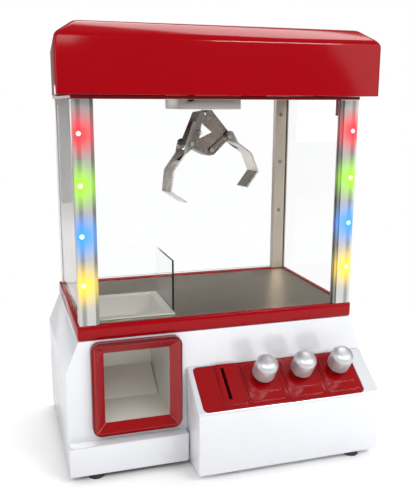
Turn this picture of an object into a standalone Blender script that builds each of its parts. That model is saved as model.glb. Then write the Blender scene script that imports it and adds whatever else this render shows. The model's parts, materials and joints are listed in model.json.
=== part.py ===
"""Tabletop claw crane machine: a gantry and a two-armed claw in a cab, over a base with a chute and levers.

Lengths are in metres. X runs left to right, Y runs front to back and Z runs up. The object's origin is on
the ground at the middle of its outline. Everything hangs from an empty on the front plane of the red ledge,
so every Y below is a distance behind that plane.
"""

import math

import bmesh
import bpy
from mathutils import Matrix, Vector

MM = 0.001
GAP = 0.3 * MM  # what two touching pieces keep between them
PAST = 10 * MM  # how far a cutter runs past what it cuts
BITE = 0.5 * MM  # how deep two joined shapes reach into each other

# Overall sizes
BASE_HALF = 129.4 * MM
CAB_HALF = 118.6 * MM
DEPTH = 149.0 * MM  # from the ledge's front to the hood's back
BOX_PROUD = 37.5 * MM
HEIGHT = 356.0 * MM

# Base
FOOT_HEIGHT = 6.0 * MM
FOOT_RADIUS = 6.5 * MM
FOOT_FROM_SIDE = 19.4 * MM
FOOT_FROM_EDGE = 10.5 * MM
SHOULDER_Z = 90.3 * MM
BASE_TOP = 116.0 * MM
BASE_WALL = 2.4 * MM
BASE_FRONT = 0.5 * MM
BASE_SHORT = 1.5 * MM  # how far the base's back stays in front of the hood's
STEP_TOP = 31.1 * MM
STEP_PROUD = 9.7 * MM
STEP_ROOT = 20.0 * MM
PLATE_THICK = 2.0 * MM
BAY_LEFT = -34.0 * MM
BAY_RIGHT = 76.0 * MM
BAY_DEPTH = 61.0 * MM
BAY_TOP = 46.0 * MM
BAY_WALL = 1.8 * MM
SWITCH_LEFT = 66.0 * MM
SWITCH_WIDTH = 8.0 * MM
SWITCH_LOW = 58.0 * MM
SWITCH_OPENING = 16.0 * MM
SWITCH_HEIGHT = 9.0 * MM
SWITCH_PROUD = 1.2 * MM
JACK_X = 95.0 * MM
JACK_Z = 66.0 * MM
JACK_RADIUS = 5.0 * MM

# Ledge, playfield and cab
LEDGE_HEIGHT = 12.0 * MM
LEDGE_SHORT = 2.5 * MM  # how far the ledge's back stays in front of the base's
LEDGE_BORDER = 10.0 * MM
FLOOR_THICK = 1.6 * MM
FLOOR_SUNK = 0.8 * MM
FLOOR_BEHIND_LIPS = 0.5 * MM
POST_WIDTH = 13.2 * MM
POST_DEPTH = 11.0 * MM
POST_WALL = 1.5 * MM
POST_INSET = 1.7 * MM  # from the ledge's side to the post's side
POST_CORNER = 1.0 * MM
LIP_NEAR = 0.9 * MM
LIP_WIDTH = 2.5 * MM
LIP_THICK = 1.3 * MM
PANE_THICK = 1.5 * MM
PANE_IN_POST = 4.6 * MM  # how deep a side pane's edge sits in its posts
REAR_POST_WIDTH = 14.1 * MM
REAR_POST_DEPTH = 8.0 * MM
REAR_POST_WALL = 1.1 * MM
REAR_POST_INSET = 2.3 * MM
LED_RADIUS = 1.6 * MM
LED_FROM_SIDE = 4.3 * MM
LED_COUNT = 4
LED_PITCH = 38.5 * MM
LED_ABOVE_LEDGE = 32.5 * MM

# Rear door's hinge, on the right rear post
HINGE_FROM_SIDE = 3.6 * MM
HINGE_BEHIND = 1.9 * MM
HINGE_ROD = 1.1 * MM
HINGE_BOSS = 2.0 * MM
HINGE_LUG = 8.0 * MM
WEB_SHORT = 0.4 * MM  # how far a hinge web stops from its boss's ends
HINGE_ABOVE_LEDGE = 21.7 * MM
HINGE_BELOW_TOP = 21.2 * MM
DOOR_SIDE_GAP = 1.5 * MM
PULL_RADIUS = 4.0 * MM
PULL_LENGTH = 2.6 * MM
PULL_ROOT = 0.6 * MM
PULL_ABOVE_LEDGE = 86.7 * MM
PULL_FROM_EDGE = 9.0 * MM

# Hood
HOOD_DROP = 54.8 * MM  # from the hood's top to the posts' tops
RIM_THICK = 2.4 * MM
RIM_INSET = 1.0 * MM
HOOD_HALF = 128.9 * MM
HOOD_BACK_HALF = 117.5 * MM
HOOD_PROUD = 11.2 * MM
HOOD_TOP_BEVEL = 10.2 * MM
HOOD_SIDE_BEVEL = 15.5 * MM
HOOD_FRONT_BEVEL = 11.6 * MM
HOOD_WALL = 2.2 * MM
CORNER_BLOCK = 13.0 * MM

# Prize chute and its red surround
CHUTE_LEFT = -99.4 * MM
CHUTE_RIGHT = -43.6 * MM
CHUTE_FRONT = 19.2 * MM
CHUTE_BACK = 75.8 * MM
CHUTE_FLOOR = 43.8 * MM
CHUTE_WALL = 1.2 * MM
CHUTE_MOUTH_TOP = 105.4 * MM
RIM_WIDTH = 6.6 * MM
RIM_PROUD = 1.2 * MM
RAMP_TOP = 62.6 * MM
RAMP_RUN = 28.0 * MM
GUARD_HEIGHT = 43.0 * MM
GUARD_THICK = 1.6 * MM
GUARD_SETBACK = 4.0 * MM
BEZEL_PROUD = 6.1 * MM
BEZEL_LEFT_BORDER = 10.2 * MM
BEZEL_RIGHT_BORDER = 7.8 * MM
BEZEL_LOW_BORDER = 7.8 * MM
BEZEL_TOP_BORDER = 9.6 * MM
BEZEL_LIP = 2.8 * MM
BEZEL_RADIUS = 7.0 * MM

# Control box, its panel and levers
BOX_LEFT = -31.0 * MM
BOX_FRONT_TOP = 59.4 * MM
BOX_REAR_TOP = 85.6 * MM
BOX_WALL = 2.4 * MM
SLOPE_WALL = 4.0 * MM
PANEL_LEFT = -26.2 * MM
PANEL_FROM_SIDE = 13.4 * MM
PANEL_FRONT = 1.6 * MM
PANEL_BACK = 44.4 * MM
PANEL_THICK = 1.8 * MM
PANEL_SUNK = 0.5 * MM
PANEL_RADIUS = 4.5 * MM
PANEL_SEAT = 1.8 * MM
TIER = 0.9 * MM
LEVER_COUNT = 3
LEVER_PITCH = 34.3 * MM
LEVER_FROM_EDGE = 17.6 * MM
LEVER_S = 27.3 * MM
PAD_HALF = 14.0 * MM
PAD_STEP = 1.5 * MM
BALL_RADIUS = 9.5 * MM
BALL_SUNK = 6.0 * MM
KNOB_RADIUS = 9.5 * MM
KNOB_HEIGHT = 19.0 * MM
KNOB_DOME = 6.0 * MM
KNOB_CLEAR = 6.3 * MM
LEVER_RADIUS = 2.4 * MM
HOLE_CLEAR = 0.7 * MM  # from a lever's ball to the panel's hole
STEM_BELOW = 6.0 * MM
TRUNNION_RADIUS = 1.6 * MM
CHEEK_CLEAR = 2.4 * MM  # from the ball's side to the cheek
CHEEK_THICK = 1.2 * MM
CHEEK_HALF = 5.0 * MM
BRACKET_THICK = 1.6 * MM
BOARD_THICK = 1.6 * MM
BOARD_UP = 4.0 * MM
SLOT_X = -2.0 * MM
SLOT_WIDTH = 2.8 * MM
SLOT_FRONT = 10.0 * MM
SLOT_BACK = 40.3 * MM
TUBE_WALL = 1.2 * MM
TUBE_LENGTH = 26.0 * MM
FEELER_RADIUS = 0.9 * MM

# Gantry
RAIL_AT = 100.0 * MM
RAIL_WIDTH = 6.0 * MM
RAIL_HEIGHT = 5.0 * MM
RAIL_FROM_EDGE = 5.0 * MM
GANTRY_MODULE = 1.0 * MM
PINION_TEETH = 12
TOOTH_HEIGHT = 1.5 * MM
RACK_BEHIND_PITCH = 0.75 * MM
CARRIAGE_X = 3.3 * MM
CARRIAGE_Y = 70.0 * MM
CARRIAGE_WIDTH = 53.8 * MM
CARRIAGE_DEPTH = 50.0 * MM
CARRIAGE_BELOW_RODS = 7.0 * MM
CARRIAGE_HEIGHT = 15.7 * MM
CARRIAGE_WALL = 1.5 * MM
CARRIAGE_PLATE = 1.8 * MM
ROD_RADIUS = 3.0 * MM
ROD_APART = 38.0 * MM
ROD_ABOVE_RAIL = 11.8 * MM
SHOE_WALL = 2.0 * MM
MOTOR_RADIUS = 7.0 * MM
MOTOR_LENGTH = 18.0 * MM
MOTOR_BACK = 1.5 * MM  # from a motor's face to its pinion
SHAFT_RADIUS = 1.0 * MM
DRUM_RADIUS = 4.5 * MM
DRUM_FLANGE = 1.7 * MM
DRUM_HALF = 5.0 * MM
DRUM_AXLE = 1.2 * MM
DRUM_ABOVE_BOX = 9.3 * MM
CORD_RADIUS = 0.6 * MM

# Claw, in its own leaning frame: X across, Z up from its top edge
CLAW_TURN = math.radians(12.0)
CLAW_LEAN = math.radians(9.0)
CLAW_BELOW_BOX = 1.7 * MM
CLAW_DEPTH = 13.0 * MM
CLAW_WALL = 1.3 * MM
CLAW_TOP_HALF = 6.0 * MM
CLAW_CORNER = (23.0 * MM, -25.5 * MM)
CLAW_FOOT = (2.5 * MM, -38.5 * MM)
PLATE_SUNK = 0.8 * MM
PIVOT = (19.0 * MM, -25.2 * MM)
PIN_RADIUS = 1.2 * MM
PIN_HEAD = 0.8 * MM
ARM_BENDS = ((40.0 * MM, -44.5 * MM), (45.0 * MM, -62.0 * MM), (31.4 * MM, -74.0 * MM))
ARM_THICK = 1.4 * MM
ARM_CLEAR = 0.8 * MM
CHEEK_SKIN = 1.3 * MM

# Places that follow: the base and the cab
FRONT = -(DEPTH + BOX_PROUD) / 2 + BOX_PROUD
BASE_BACK = DEPTH - BASE_SHORT
LEDGE_DEPTH = BASE_BACK - LEDGE_SHORT
LEDGE_LOW = BASE_TOP + GAP
LEDGE_TOP = LEDGE_LOW + LEDGE_HEIGHT
FLOOR_TOP = LEDGE_TOP - FLOOR_SUNK
FLOOR_LOW = FLOOR_TOP - FLOOR_THICK
POST_TOP = HEIGHT - HOOD_DROP
POST_OUT = CAB_HALF - POST_INSET
POST_IN = POST_OUT - POST_WIDTH
REAR_OUT = CAB_HALF - REAR_POST_INSET
REAR_IN = REAR_OUT - REAR_POST_WIDTH
REAR_FRONT = LEDGE_DEPTH - REAR_POST_DEPTH
PANE_IN = POST_OUT - POST_WALL - GAP - PANE_THICK
LIPS_BACK = LIP_NEAR + 2 * LIP_THICK + PANE_THICK + 2 * GAP
FLOOR_FRONT = LIPS_BACK + FLOOR_BEHIND_LIPS
LED_AT = POST_OUT - LED_FROM_SIDE
LED_HEIGHTS = [LEDGE_TOP + LED_ABOVE_LEDGE + k * LED_PITCH for k in range(LED_COUNT)]
HINGE_X = REAR_OUT - HINGE_FROM_SIDE
HINGE_Y = LEDGE_DEPTH + HINGE_BEHIND
LUG_LOW = LEDGE_TOP + HINGE_ABOVE_LEDGE
LUG_HIGH = POST_TOP - HINGE_BELOW_TOP - HINGE_LUG
HINGE_LUGS = ((LUG_LOW, LUG_LOW + HINGE_LUG), (LUG_HIGH, LUG_HIGH + HINGE_LUG))
RIM_LOW = POST_TOP + GAP
RIM_TOP = RIM_LOW + RIM_THICK
HOOD_SHOULDER = HEIGHT - HOOD_TOP_BEVEL
BAY_BACK = BASE_BACK - 4.5 * MM
JACK_FLANGE = JACK_RADIUS + 2.5 * MM

# Places that follow: the control box
SLOPE = math.atan2(BOX_REAR_TOP - BOX_FRONT_TOP, BOX_PROUD + BASE_FRONT - GAP)
PANEL_RIGHT = BASE_HALF - PANEL_FROM_SIDE
LEVER_LAST = PANEL_RIGHT - LEVER_FROM_EDGE
LEVER_X = [LEVER_LAST - (LEVER_COUNT - 1 - k) * LEVER_PITCH for k in range(LEVER_COUNT)]
PANEL_TOP = -PANEL_SUNK
PANEL_LOW = PANEL_TOP - PANEL_THICK
PIVOT_H = PANEL_TOP - BALL_SUNK
CHEEK_AT = BALL_RADIUS + CHEEK_CLEAR
CHEEK_OUT = CHEEK_AT + CHEEK_THICK
STEM_LOW = PIVOT_H - BALL_RADIUS - STEM_BELOW

# Places that follow: the gantry and the claw
OPENING_HALF = RAIL_AT - 9.5 * MM
RAIL_LOW = RIM_TOP + GAP
RAIL_TOP = RAIL_LOW + RAIL_HEIGHT
RAIL_BACK = LEDGE_DEPTH - 4.0 * MM
ROD_Z = RAIL_LOW + ROD_ABOVE_RAIL
CARRIAGE_TOP = ROD_Z - CARRIAGE_BELOW_RODS
CARRIAGE_BOTTOM = CARRIAGE_TOP - CARRIAGE_HEIGHT
RACK_PITCH = math.pi * GANTRY_MODULE
PINION_PITCH_RADIUS = PINION_TEETH * GANTRY_MODULE / 2
RACK_LAND = RAIL_LOW + 2.2 * MM
Y_PINION_Z = RACK_LAND + TOOTH_HEIGHT - RACK_BEHIND_PITCH + PINION_PITCH_RADIUS
X_RACK_LAND = ROD_Z + ROD_RADIUS + 1.2 * MM
X_PINION_Z = X_RACK_LAND + TOOTH_HEIGHT - RACK_BEHIND_PITCH + PINION_PITCH_RADIUS
RACK_IN = OPENING_HALF + 1.2 * MM
RACK_OUT = RAIL_AT - RAIL_WIDTH / 2 - GAP
TRUCK_Y = (CARRIAGE_Y - CARRIAGE_DEPTH / 2, CARRIAGE_Y + CARRIAGE_DEPTH / 2 + 8 * MM)
X_RACK_Y = (CARRIAGE_Y + CARRIAGE_DEPTH / 2 + 1 * MM, CARRIAGE_Y + CARRIAGE_DEPTH / 2 + 5 * MM)
DRUM_Y = CARRIAGE_Y + DRUM_RADIUS + CORD_RADIUS
DRUM_Z = CARRIAGE_BOTTOM + DRUM_ABOVE_BOX
CLAW_TOP = CARRIAGE_BOTTOM - CLAW_BELOW_BOX
ARM_HALF = CLAW_DEPTH / 2 + ARM_CLEAR + CHEEK_SKIN

PARTS = "claw_crane_machine"
CUTTERS = "cutters"


def clear_scene():
    for thing in list(bpy.data.objects):
        bpy.data.objects.remove(thing, do_unlink=True)
    for name in (PARTS, CUTTERS):
        group = bpy.data.collections.new(name)
        bpy.context.scene.collection.children.link(group)


def finish(name, colour, roughness, metallic=0.0, alpha=1.0):
    """A plain Principled material."""
    made = bpy.data.materials.new(name)
    made.use_nodes = True
    shader = made.node_tree.nodes["Principled BSDF"]
    shader.inputs["Base Color"].default_value = (*colour, 1.0)
    shader.inputs["Roughness"].default_value = roughness
    shader.inputs["Metallic"].default_value = metallic
    shader.inputs["Alpha"].default_value = alpha
    return made


def empty(name, parent=None, location=(0, 0, 0), rotation=(0, 0, 0)):
    made = bpy.data.objects.new(name, None)
    bpy.data.collections[PARTS].objects.link(made)
    made.parent = parent
    made.location = location
    made.rotation_euler = rotation
    return made


def place(name, mesh, material, parent):
    if material:
        mesh.materials.append(material)
    made = bpy.data.objects.new(name, mesh)
    bpy.data.collections[PARTS].objects.link(made)
    made.parent = parent
    return made


def from_bmesh(name, shape, material, parent):
    mesh = bpy.data.meshes.new(name)
    bmesh.ops.recalc_face_normals(shape, faces=shape.faces)
    shape.to_mesh(mesh)
    shape.free()
    return place(name, mesh, material, parent)


def box(name, low, high, material=None, parent=None):
    """A block between two corners."""
    low, high = Vector(low), Vector(high)
    shape = bmesh.new()
    bmesh.ops.create_cube(shape, size=1.0)
    bmesh.ops.scale(shape, vec=high - low, verts=shape.verts)
    bmesh.ops.translate(shape, vec=(low + high) / 2, verts=shape.verts)
    return from_bmesh(name, shape, material, parent)


def taper(name, low, high, low2, high2, axis, material=None, parent=None):
    """A block whose far end, along an axis, has other corners than its near end."""
    shape = bmesh.new()
    bmesh.ops.create_cube(shape, size=1.0)
    for corner in shape.verts:
        ends = (low2, high2) if corner.co[axis] > 0 else (low, high)
        for k in range(3):
            source = (low, high) if k == axis else ends
            corner.co[k] = source[1][k] if corner.co[k] > 0 else source[0][k]
    return from_bmesh(name, shape, material, parent)


TURNS = {
    "X": Matrix.Rotation(math.pi / 2, 4, "Y"),
    "Y": Matrix.Rotation(-math.pi / 2, 4, "X"),
    "Z": Matrix.Identity(4),
}
OUTLINE_TURNS = {
    "X": Matrix(((0, 0, 1, 0), (1, 0, 0, 0), (0, 1, 0, 0), (0, 0, 0, 1))),
    "Y": Matrix.Rotation(math.pi / 2, 4, "X"),
    "Z": Matrix.Identity(4),
}


def cylinder(name, centre, radius, length, axis, material=None, parent=None, sides=20, end_radius=None):
    """A round bar, or a cone when its far end has its own radius."""
    shape = bmesh.new()
    bmesh.ops.create_cone(
        shape,
        cap_ends=True,
        segments=sides,
        radius1=radius,
        radius2=radius if end_radius is None else end_radius,
        depth=length,
    )
    bmesh.ops.transform(shape, matrix=Matrix.Translation(centre) @ TURNS[axis], verts=shape.verts)
    made = from_bmesh(name, shape, material, parent)
    made.data.shade_smooth()
    made.data.set_sharp_from_angle(angle=math.radians(40))
    return made


def ball(name, centre, radius, material=None, parent=None, sides=20):
    shape = bmesh.new()
    bmesh.ops.create_uvsphere(shape, u_segments=sides, v_segments=sides // 2, radius=radius)
    bmesh.ops.translate(shape, vec=centre, verts=shape.verts)
    made = from_bmesh(name, shape, material, parent)
    made.data.shade_smooth()
    return made


def slab(name, outline, low, high, axis, material=None, parent=None):
    """A flat outline made thick along an axis: (x, y) along Z, (x, z) along Y and (y, z) along X."""
    curve = bpy.data.curves.new(name, "CURVE")
    curve.dimensions = "2D"
    curve.fill_mode = "BOTH"
    curve.extrude = (high - low) / 2
    line = curve.splines.new("POLY")
    line.points.add(len(outline) - 1)
    for point, (a, b) in zip(line.points, outline):
        point.co = (a, b, 0, 1)
    line.use_cyclic_u = True
    drawn = bpy.data.objects.new(name + "_outline", curve)
    bpy.data.collections[PARTS].objects.link(drawn)
    graph = bpy.context.evaluated_depsgraph_get()
    mesh = bpy.data.meshes.new_from_object(drawn.evaluated_get(graph))
    bpy.data.objects.remove(drawn, do_unlink=True)
    bpy.data.curves.remove(curve)
    shape = bmesh.new()
    shape.from_mesh(mesh)
    bpy.data.meshes.remove(mesh)
    bmesh.ops.remove_doubles(shape, verts=shape.verts, dist=1e-6)
    middle = {"X": (1, 0, 0), "Y": (0, 1, 0), "Z": (0, 0, 1)}[axis]
    move = Matrix.Translation(Vector(middle) * (low + high) / 2)
    bmesh.ops.transform(shape, matrix=move @ OUTLINE_TURNS[axis], verts=shape.verts)
    return from_bmesh(name, shape, material, parent)


def turned(name, profile, material, parent, location=(0, 0, 0), rotation=(0, 0, 0), steps=20):
    """A turned piece: a profile of (radius, height), top to bottom, swept round Z."""
    mesh = bpy.data.meshes.new(name)
    points = [(radius, 0, height) for radius, height in profile]
    mesh.from_pydata(points, [(k, k + 1) for k in range(len(points) - 1)], [])
    made = place(name, mesh, material, parent)
    made.location = location
    made.rotation_euler = rotation
    screw = made.modifiers.new("turn", "SCREW")
    screw.steps = steps
    screw.render_steps = steps
    screw.use_merge_vertices = True
    screw.merge_threshold = 1e-6
    screw.use_smooth_shade = True
    return made


def rounded(left, right, low, high, radius, steps=4):
    """A rectangle's outline with round corners."""
    outline = []
    corners = ((right, high, 0), (left, high, 1), (left, low, 2), (right, low, 3))
    for x, y, quarter in corners:
        centre_x = x - radius if quarter in (0, 3) else x + radius
        centre_y = y - radius if quarter in (0, 1) else y + radius
        for k in range(steps + 1):
            angle = (quarter + k / steps) * math.pi / 2
            outline.append((centre_x + radius * math.cos(angle), centre_y + radius * math.sin(angle)))
    return outline


def strip(points, thick):
    """The outline of a bent strip of even thickness that runs through these points."""
    sides = ([], [])
    for k, here in enumerate(points):
        before = Vector(points[max(k - 1, 0)])
        after = Vector(points[min(k + 1, len(points) - 1)])
        into = (Vector(here) - before).normalized() if k else (after - Vector(here)).normalized()
        out = (after - Vector(here)).normalized() if k < len(points) - 1 else into
        across = Vector((-(into + out).y, (into + out).x)).normalized()
        reach = thick / 2 / max(across.dot(Vector((-into.y, into.x))), 0.3)
        sides[0].append(tuple(Vector(here) + across * reach))
        sides[1].append(tuple(Vector(here) - across * reach))
    return sides[0] + sides[1][::-1]


def inset(outline, distance):
    """A closed outline moved inwards by a distance. The outline runs anticlockwise."""
    moved = []
    count = len(outline)
    for k in range(count):
        before, here, after = (Vector(outline[(k + step) % count]) for step in (-1, 0, 1))
        into, out = (here - before).normalized(), (after - here).normalized()
        normal_in, normal_out = Vector((-into.y, into.x)), Vector((-out.y, out.x))
        across = (normal_in + normal_out).normalized()
        moved.append(tuple(here + across * distance / across.dot(normal_in)))
    return moved


def boolean(target, others, operation):
    for other in others:
        for group in other.users_collection:
            group.objects.unlink(other)
        bpy.data.collections[CUTTERS].objects.link(other)
        if other.parent is None:
            other.parent = target.parent
        other.hide_render = True
        other.display_type = "WIRE"
        step = target.modifiers.new(operation.lower(), "BOOLEAN")
        step.operation = operation
        step.object = other
    return target


def cut(target, *others):
    return boolean(target, others, "DIFFERENCE")


def join(target, *others):
    return boolean(target, others, "UNION")


def soften(target, width, segments=2):
    """Rounds the edges of a piece before anything is cut from it."""
    bevel = target.modifiers.new("soften", "BEVEL")
    bevel.width = width
    bevel.segments = segments
    bevel.limit_method = "ANGLE"
    bevel.angle_limit = math.radians(30)
    return target


def materials():
    return {
        "white": finish("silver_white_plastic", (0.86, 0.86, 0.88), 0.28, 0.15),
        "red": finish("gloss_red_plastic", (0.42, 0.002, 0.004), 0.08),
        "dark_red": finish("dark_red_plastic", (0.06, 0.002, 0.003), 0.35),
        "silver": finish("satin_silver", (0.55, 0.54, 0.53), 0.3, 0.85),
        "floor": finish("dark_silver_sheet", (0.2, 0.19, 0.19), 0.3, 0.8),
        "clear": finish("clear_sheet", (0.95, 0.97, 0.98), 0.03, 0.0, 0.12),
        "steel": finish("pressed_steel", (0.42, 0.39, 0.37), 0.3, 1.0),
        "black": finish("black_plastic", (0.015, 0.015, 0.016), 0.4),
        "rubber": finish("black_rubber", (0.02, 0.02, 0.02), 0.8),
        "nylon": finish("white_nylon", (0.75, 0.74, 0.7), 0.5),
        "board": finish("green_board", (0.02, 0.14, 0.05), 0.5),
        "lamp": finish("lamp_strip", (0.8, 0.8, 0.8), 0.3),
        "knob": finish("knob_silver", (0.6, 0.6, 0.6), 0.2, 0.9),
        "cord": finish("braided_cord", (0.7, 0.7, 0.7), 0.9),
    }


def base_outline(wall=0.0):
    low = FOOT_HEIGHT - (PAST if wall else 0.0)
    half, top_half = BASE_HALF - wall, CAB_HALF - wall
    return [
        (-half, low),
        (half, low),
        (half, SHOULDER_Z),
        (top_half, BASE_TOP - wall),
        (-top_half, BASE_TOP - wall),
        (-half, SHOULDER_Z),
    ]


def ledge_opening(name, low, high):
    """The opening that the ledge and the base's top share, inside the ledge's border."""
    edge = CAB_HALF - LEDGE_BORDER
    return box(name, (-edge, LEDGE_BORDER, low), (edge, LEDGE_DEPTH - LEDGE_BORDER - 2 * MM, high))


def make_base_shell(stuff, root):
    shell = slab("base_shell", base_outline(), BASE_FRONT, BASE_BACK, "Y", stuff["white"], root)
    step_low = (-BASE_HALF, -STEP_PROUD, FOOT_HEIGHT)
    step = box("base_step", step_low, (BOX_LEFT - GAP, STEP_ROOT, STEP_TOP))
    soften(shell, 1.2 * MM, 2)
    soften(step, 1.2 * MM, 2)
    join(shell, step)
    hollow = slab("base_hollow", base_outline(BASE_WALL), BASE_FRONT + BASE_WALL, BASE_BACK - BASE_WALL, "Y")
    hollow_step = box(
        "base_step_hollow",
        (-BASE_HALF + BASE_WALL, -STEP_PROUD + BASE_WALL, 0),
        (BOX_LEFT - GAP - BASE_WALL, STEP_ROOT, STEP_TOP - BASE_WALL),
    )
    top = ledge_opening("base_top_opening", BASE_TOP - PAST, BASE_TOP + PAST)
    mouth = box(
        "base_prize_opening",
        (CHUTE_LEFT - CHUTE_WALL - GAP, BASE_FRONT - PAST, CHUTE_FLOOR - CHUTE_WALL - GAP),
        (CHUTE_RIGHT + CHUTE_WALL + GAP, BASE_FRONT + PAST, CHUTE_MOUTH_TOP + CHUTE_WALL + GAP),
    )
    wiring = box(
        "base_wiring_opening",
        (BOX_LEFT + 12 * MM, BASE_FRONT - PAST, 20 * MM),
        (BASE_HALF - 12 * MM, BASE_FRONT + PAST, BOX_REAR_TOP - 4 * MM),
    )
    switch = box(
        "base_switch_opening",
        (SWITCH_LEFT, BASE_BACK - PAST, SWITCH_LOW),
        (SWITCH_LEFT + SWITCH_WIDTH, BASE_BACK + PAST, SWITCH_LOW + SWITCH_OPENING),
    )
    jack = cylinder("base_jack_opening", (JACK_X, BASE_BACK, JACK_Z), JACK_RADIUS, 2 * PAST, "Y")
    return cut(shell, hollow, hollow_step, top, mouth, wiring, switch, jack)


def make_bottom_plate(stuff, root):
    """The plate that closes the base, with the battery compartment moulded on it and its screwed door."""
    low = FOOT_HEIGHT + GAP
    edge = BASE_WALL + GAP
    back = BASE_BACK - edge
    plate = box(
        "bottom_plate",
        (-BASE_HALF + edge, BASE_FRONT + edge, low),
        (BASE_HALF - edge, back, low + PLATE_THICK),
        stuff["black"],
        root,
    )
    step_right = BOX_LEFT - GAP - edge
    tongue = box(
        "plate_tongue",
        (-BASE_HALF + edge, -STEP_PROUD + edge, low),
        (step_right, STEP_ROOT, low + PLATE_THICK),
    )
    join(plate, tongue)
    near = BAY_BACK - BAY_DEPTH
    bay = box(
        "battery_bay",
        (BAY_LEFT - BAY_WALL, near - BAY_WALL, low + PLATE_THICK / 2),
        (BAY_RIGHT + BAY_WALL, BAY_BACK + BAY_WALL, BAY_TOP + BAY_WALL),
    )
    hollow = box("battery_bay_hollow", (BAY_LEFT, near, 0), (BAY_RIGHT, BAY_BACK, BAY_TOP))
    cut(join(plate, bay), hollow)
    box(
        "battery_door",
        (BAY_LEFT + GAP, near + GAP, low),
        (BAY_RIGHT - GAP, BAY_BACK - GAP, low + PLATE_THICK - GAP),
        stuff["black"],
        root,
    )


def make_feet(stuff, root):
    x, back = BASE_HALF - FOOT_FROM_SIDE, BASE_BACK - FOOT_FROM_EDGE
    spots = {
        "foot_front_left": (-x + 2.5 * MM, -STEP_PROUD + FOOT_FROM_EDGE - 0.3 * MM),
        "foot_front_right": (x, -BOX_PROUD + FOOT_FROM_EDGE),
        "foot_rear_left": (-x, back),
        "foot_rear_right": (x, back),
    }
    height = FOOT_HEIGHT - GAP
    for name, (x, y) in spots.items():
        cylinder(name, (x, y, height / 2), FOOT_RADIUS, height, "Z", stuff["rubber"], root)


def make_ledge(stuff, root):
    low, high = (-CAB_HALF, 0, LEDGE_LOW), (CAB_HALF, LEDGE_DEPTH, LEDGE_TOP)
    ledge = box("ledge_frame", low, high, stuff["red"], root)
    soften(ledge, 1.2 * MM, 2)
    hole = ledge_opening("ledge_hole", 0, HEIGHT)
    seat = box("ledge_seat", (-PANE_IN, FLOOR_FRONT, FLOOR_LOW - GAP), (PANE_IN, REAR_FRONT, HEIGHT))
    return cut(ledge, hole, seat)


def make_floor(stuff, root):
    floor = box(
        "playfield_floor",
        (-PANE_IN + GAP, FLOOR_FRONT + GAP, FLOOR_LOW),
        (PANE_IN - GAP, REAR_FRONT - GAP, FLOOR_TOP),
        stuff["floor"],
        root,
    )
    grow = CHUTE_WALL + GAP
    hole = box(
        "floor_chute_hole",
        (CHUTE_LEFT - grow, CHUTE_FRONT - grow, 0),
        (CHUTE_RIGHT + grow, CHUTE_BACK + grow, HEIGHT),
    )
    return cut(floor, hole)


def chute_profile(grow, top):
    """The chute from the side, open at its top and at its front mouth when grow is nothing."""
    front = BASE_FRONT + BASE_WALL + GAP if grow else BASE_FRONT - PAST
    return [
        (front, CHUTE_FLOOR - grow),
        (CHUTE_BACK + grow, CHUTE_FLOOR - grow),
        (CHUTE_BACK + grow, top),
        (CHUTE_FRONT - grow, top),
        (CHUTE_FRONT - grow, CHUTE_MOUTH_TOP + grow),
        (front, CHUTE_MOUTH_TOP + grow),
    ]


def make_chute(stuff, root):
    """The duct from the playfield to the prize opening, with its rim on the floor and a ramp at its back."""
    wall = CHUTE_WALL
    rim_low = FLOOR_TOP + GAP
    rim_top = rim_low + RIM_PROUD
    duct = slab(
        "prize_chute",
        chute_profile(wall, rim_low + BITE),
        CHUTE_LEFT - wall,
        CHUTE_RIGHT + wall,
        "X",
        stuff["silver"],
        root,
    )
    rim = box(
        "chute_rim",
        (CHUTE_LEFT - RIM_WIDTH, CHUTE_FRONT - RIM_WIDTH, rim_low),
        (CHUTE_RIGHT + RIM_WIDTH, CHUTE_BACK + RIM_WIDTH, rim_top),
    )
    hollow = slab("chute_hollow", chute_profile(0.0, HEIGHT), CHUTE_LEFT, CHUTE_RIGHT, "X")
    ramp_points = ((CHUTE_BACK + BITE, RAMP_TOP), (CHUTE_BACK - RAMP_RUN, CHUTE_FLOOR - GAP))
    side_gap = 0.5 * MM
    ramp = slab("chute_ramp", strip(ramp_points, wall), CHUTE_LEFT + side_gap, CHUTE_RIGHT - side_gap, "X")
    join(duct, rim)
    cut(duct, hollow)
    return join(duct, ramp)


def make_guard(stuff, root):
    """The clear L-shaped fence that keeps prizes from the chute."""
    right = CHUTE_RIGHT + RIM_WIDTH + GAP
    near = CHUTE_FRONT + GUARD_SETBACK
    far = CHUTE_BACK + RIM_WIDTH + GAP
    thick = GUARD_THICK
    left = -PANE_IN + GAP
    outline = [
        (right, near),
        (right + thick, near),
        (right + thick, far + thick),
        (left, far + thick),
        (left, far),
        (right, far),
    ]
    low = FLOOR_TOP + GAP
    return slab("chute_guard", outline, low, low + GUARD_HEIGHT, "Z", stuff["clear"], root)


def make_bezel(stuff, root):
    """The red surround of the prize opening, with its sides sloping in to the mouth."""
    left, right = CHUTE_LEFT - BEZEL_LEFT_BORDER, CHUTE_RIGHT + BEZEL_RIGHT_BORDER
    low, high = CHUTE_FLOOR - BEZEL_LOW_BORDER, CHUTE_MOUTH_TOP + BEZEL_TOP_BORDER
    back = BASE_FRONT - GAP
    front = back - BEZEL_PROUD
    outline = rounded(left, right, low, high, BEZEL_RADIUS)
    bezel = slab("prize_bezel", outline, front, back, "Y", stuff["red"], root)
    soften(bezel, 0.9 * MM, 2)
    lip = BEZEL_LIP
    mouth_side = 1.0 * MM
    funnel = taper(
        "bezel_funnel",
        (left + lip, front - GAP, low + lip),
        (right - lip, back + GAP, high - lip),
        (CHUTE_LEFT + mouth_side, front, CHUTE_FLOOR + mouth_side * 2),
        (CHUTE_RIGHT - mouth_side * 2, back, CHUTE_MOUTH_TOP - mouth_side),
        1,
    )
    return cut(bezel, funnel)


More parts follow.
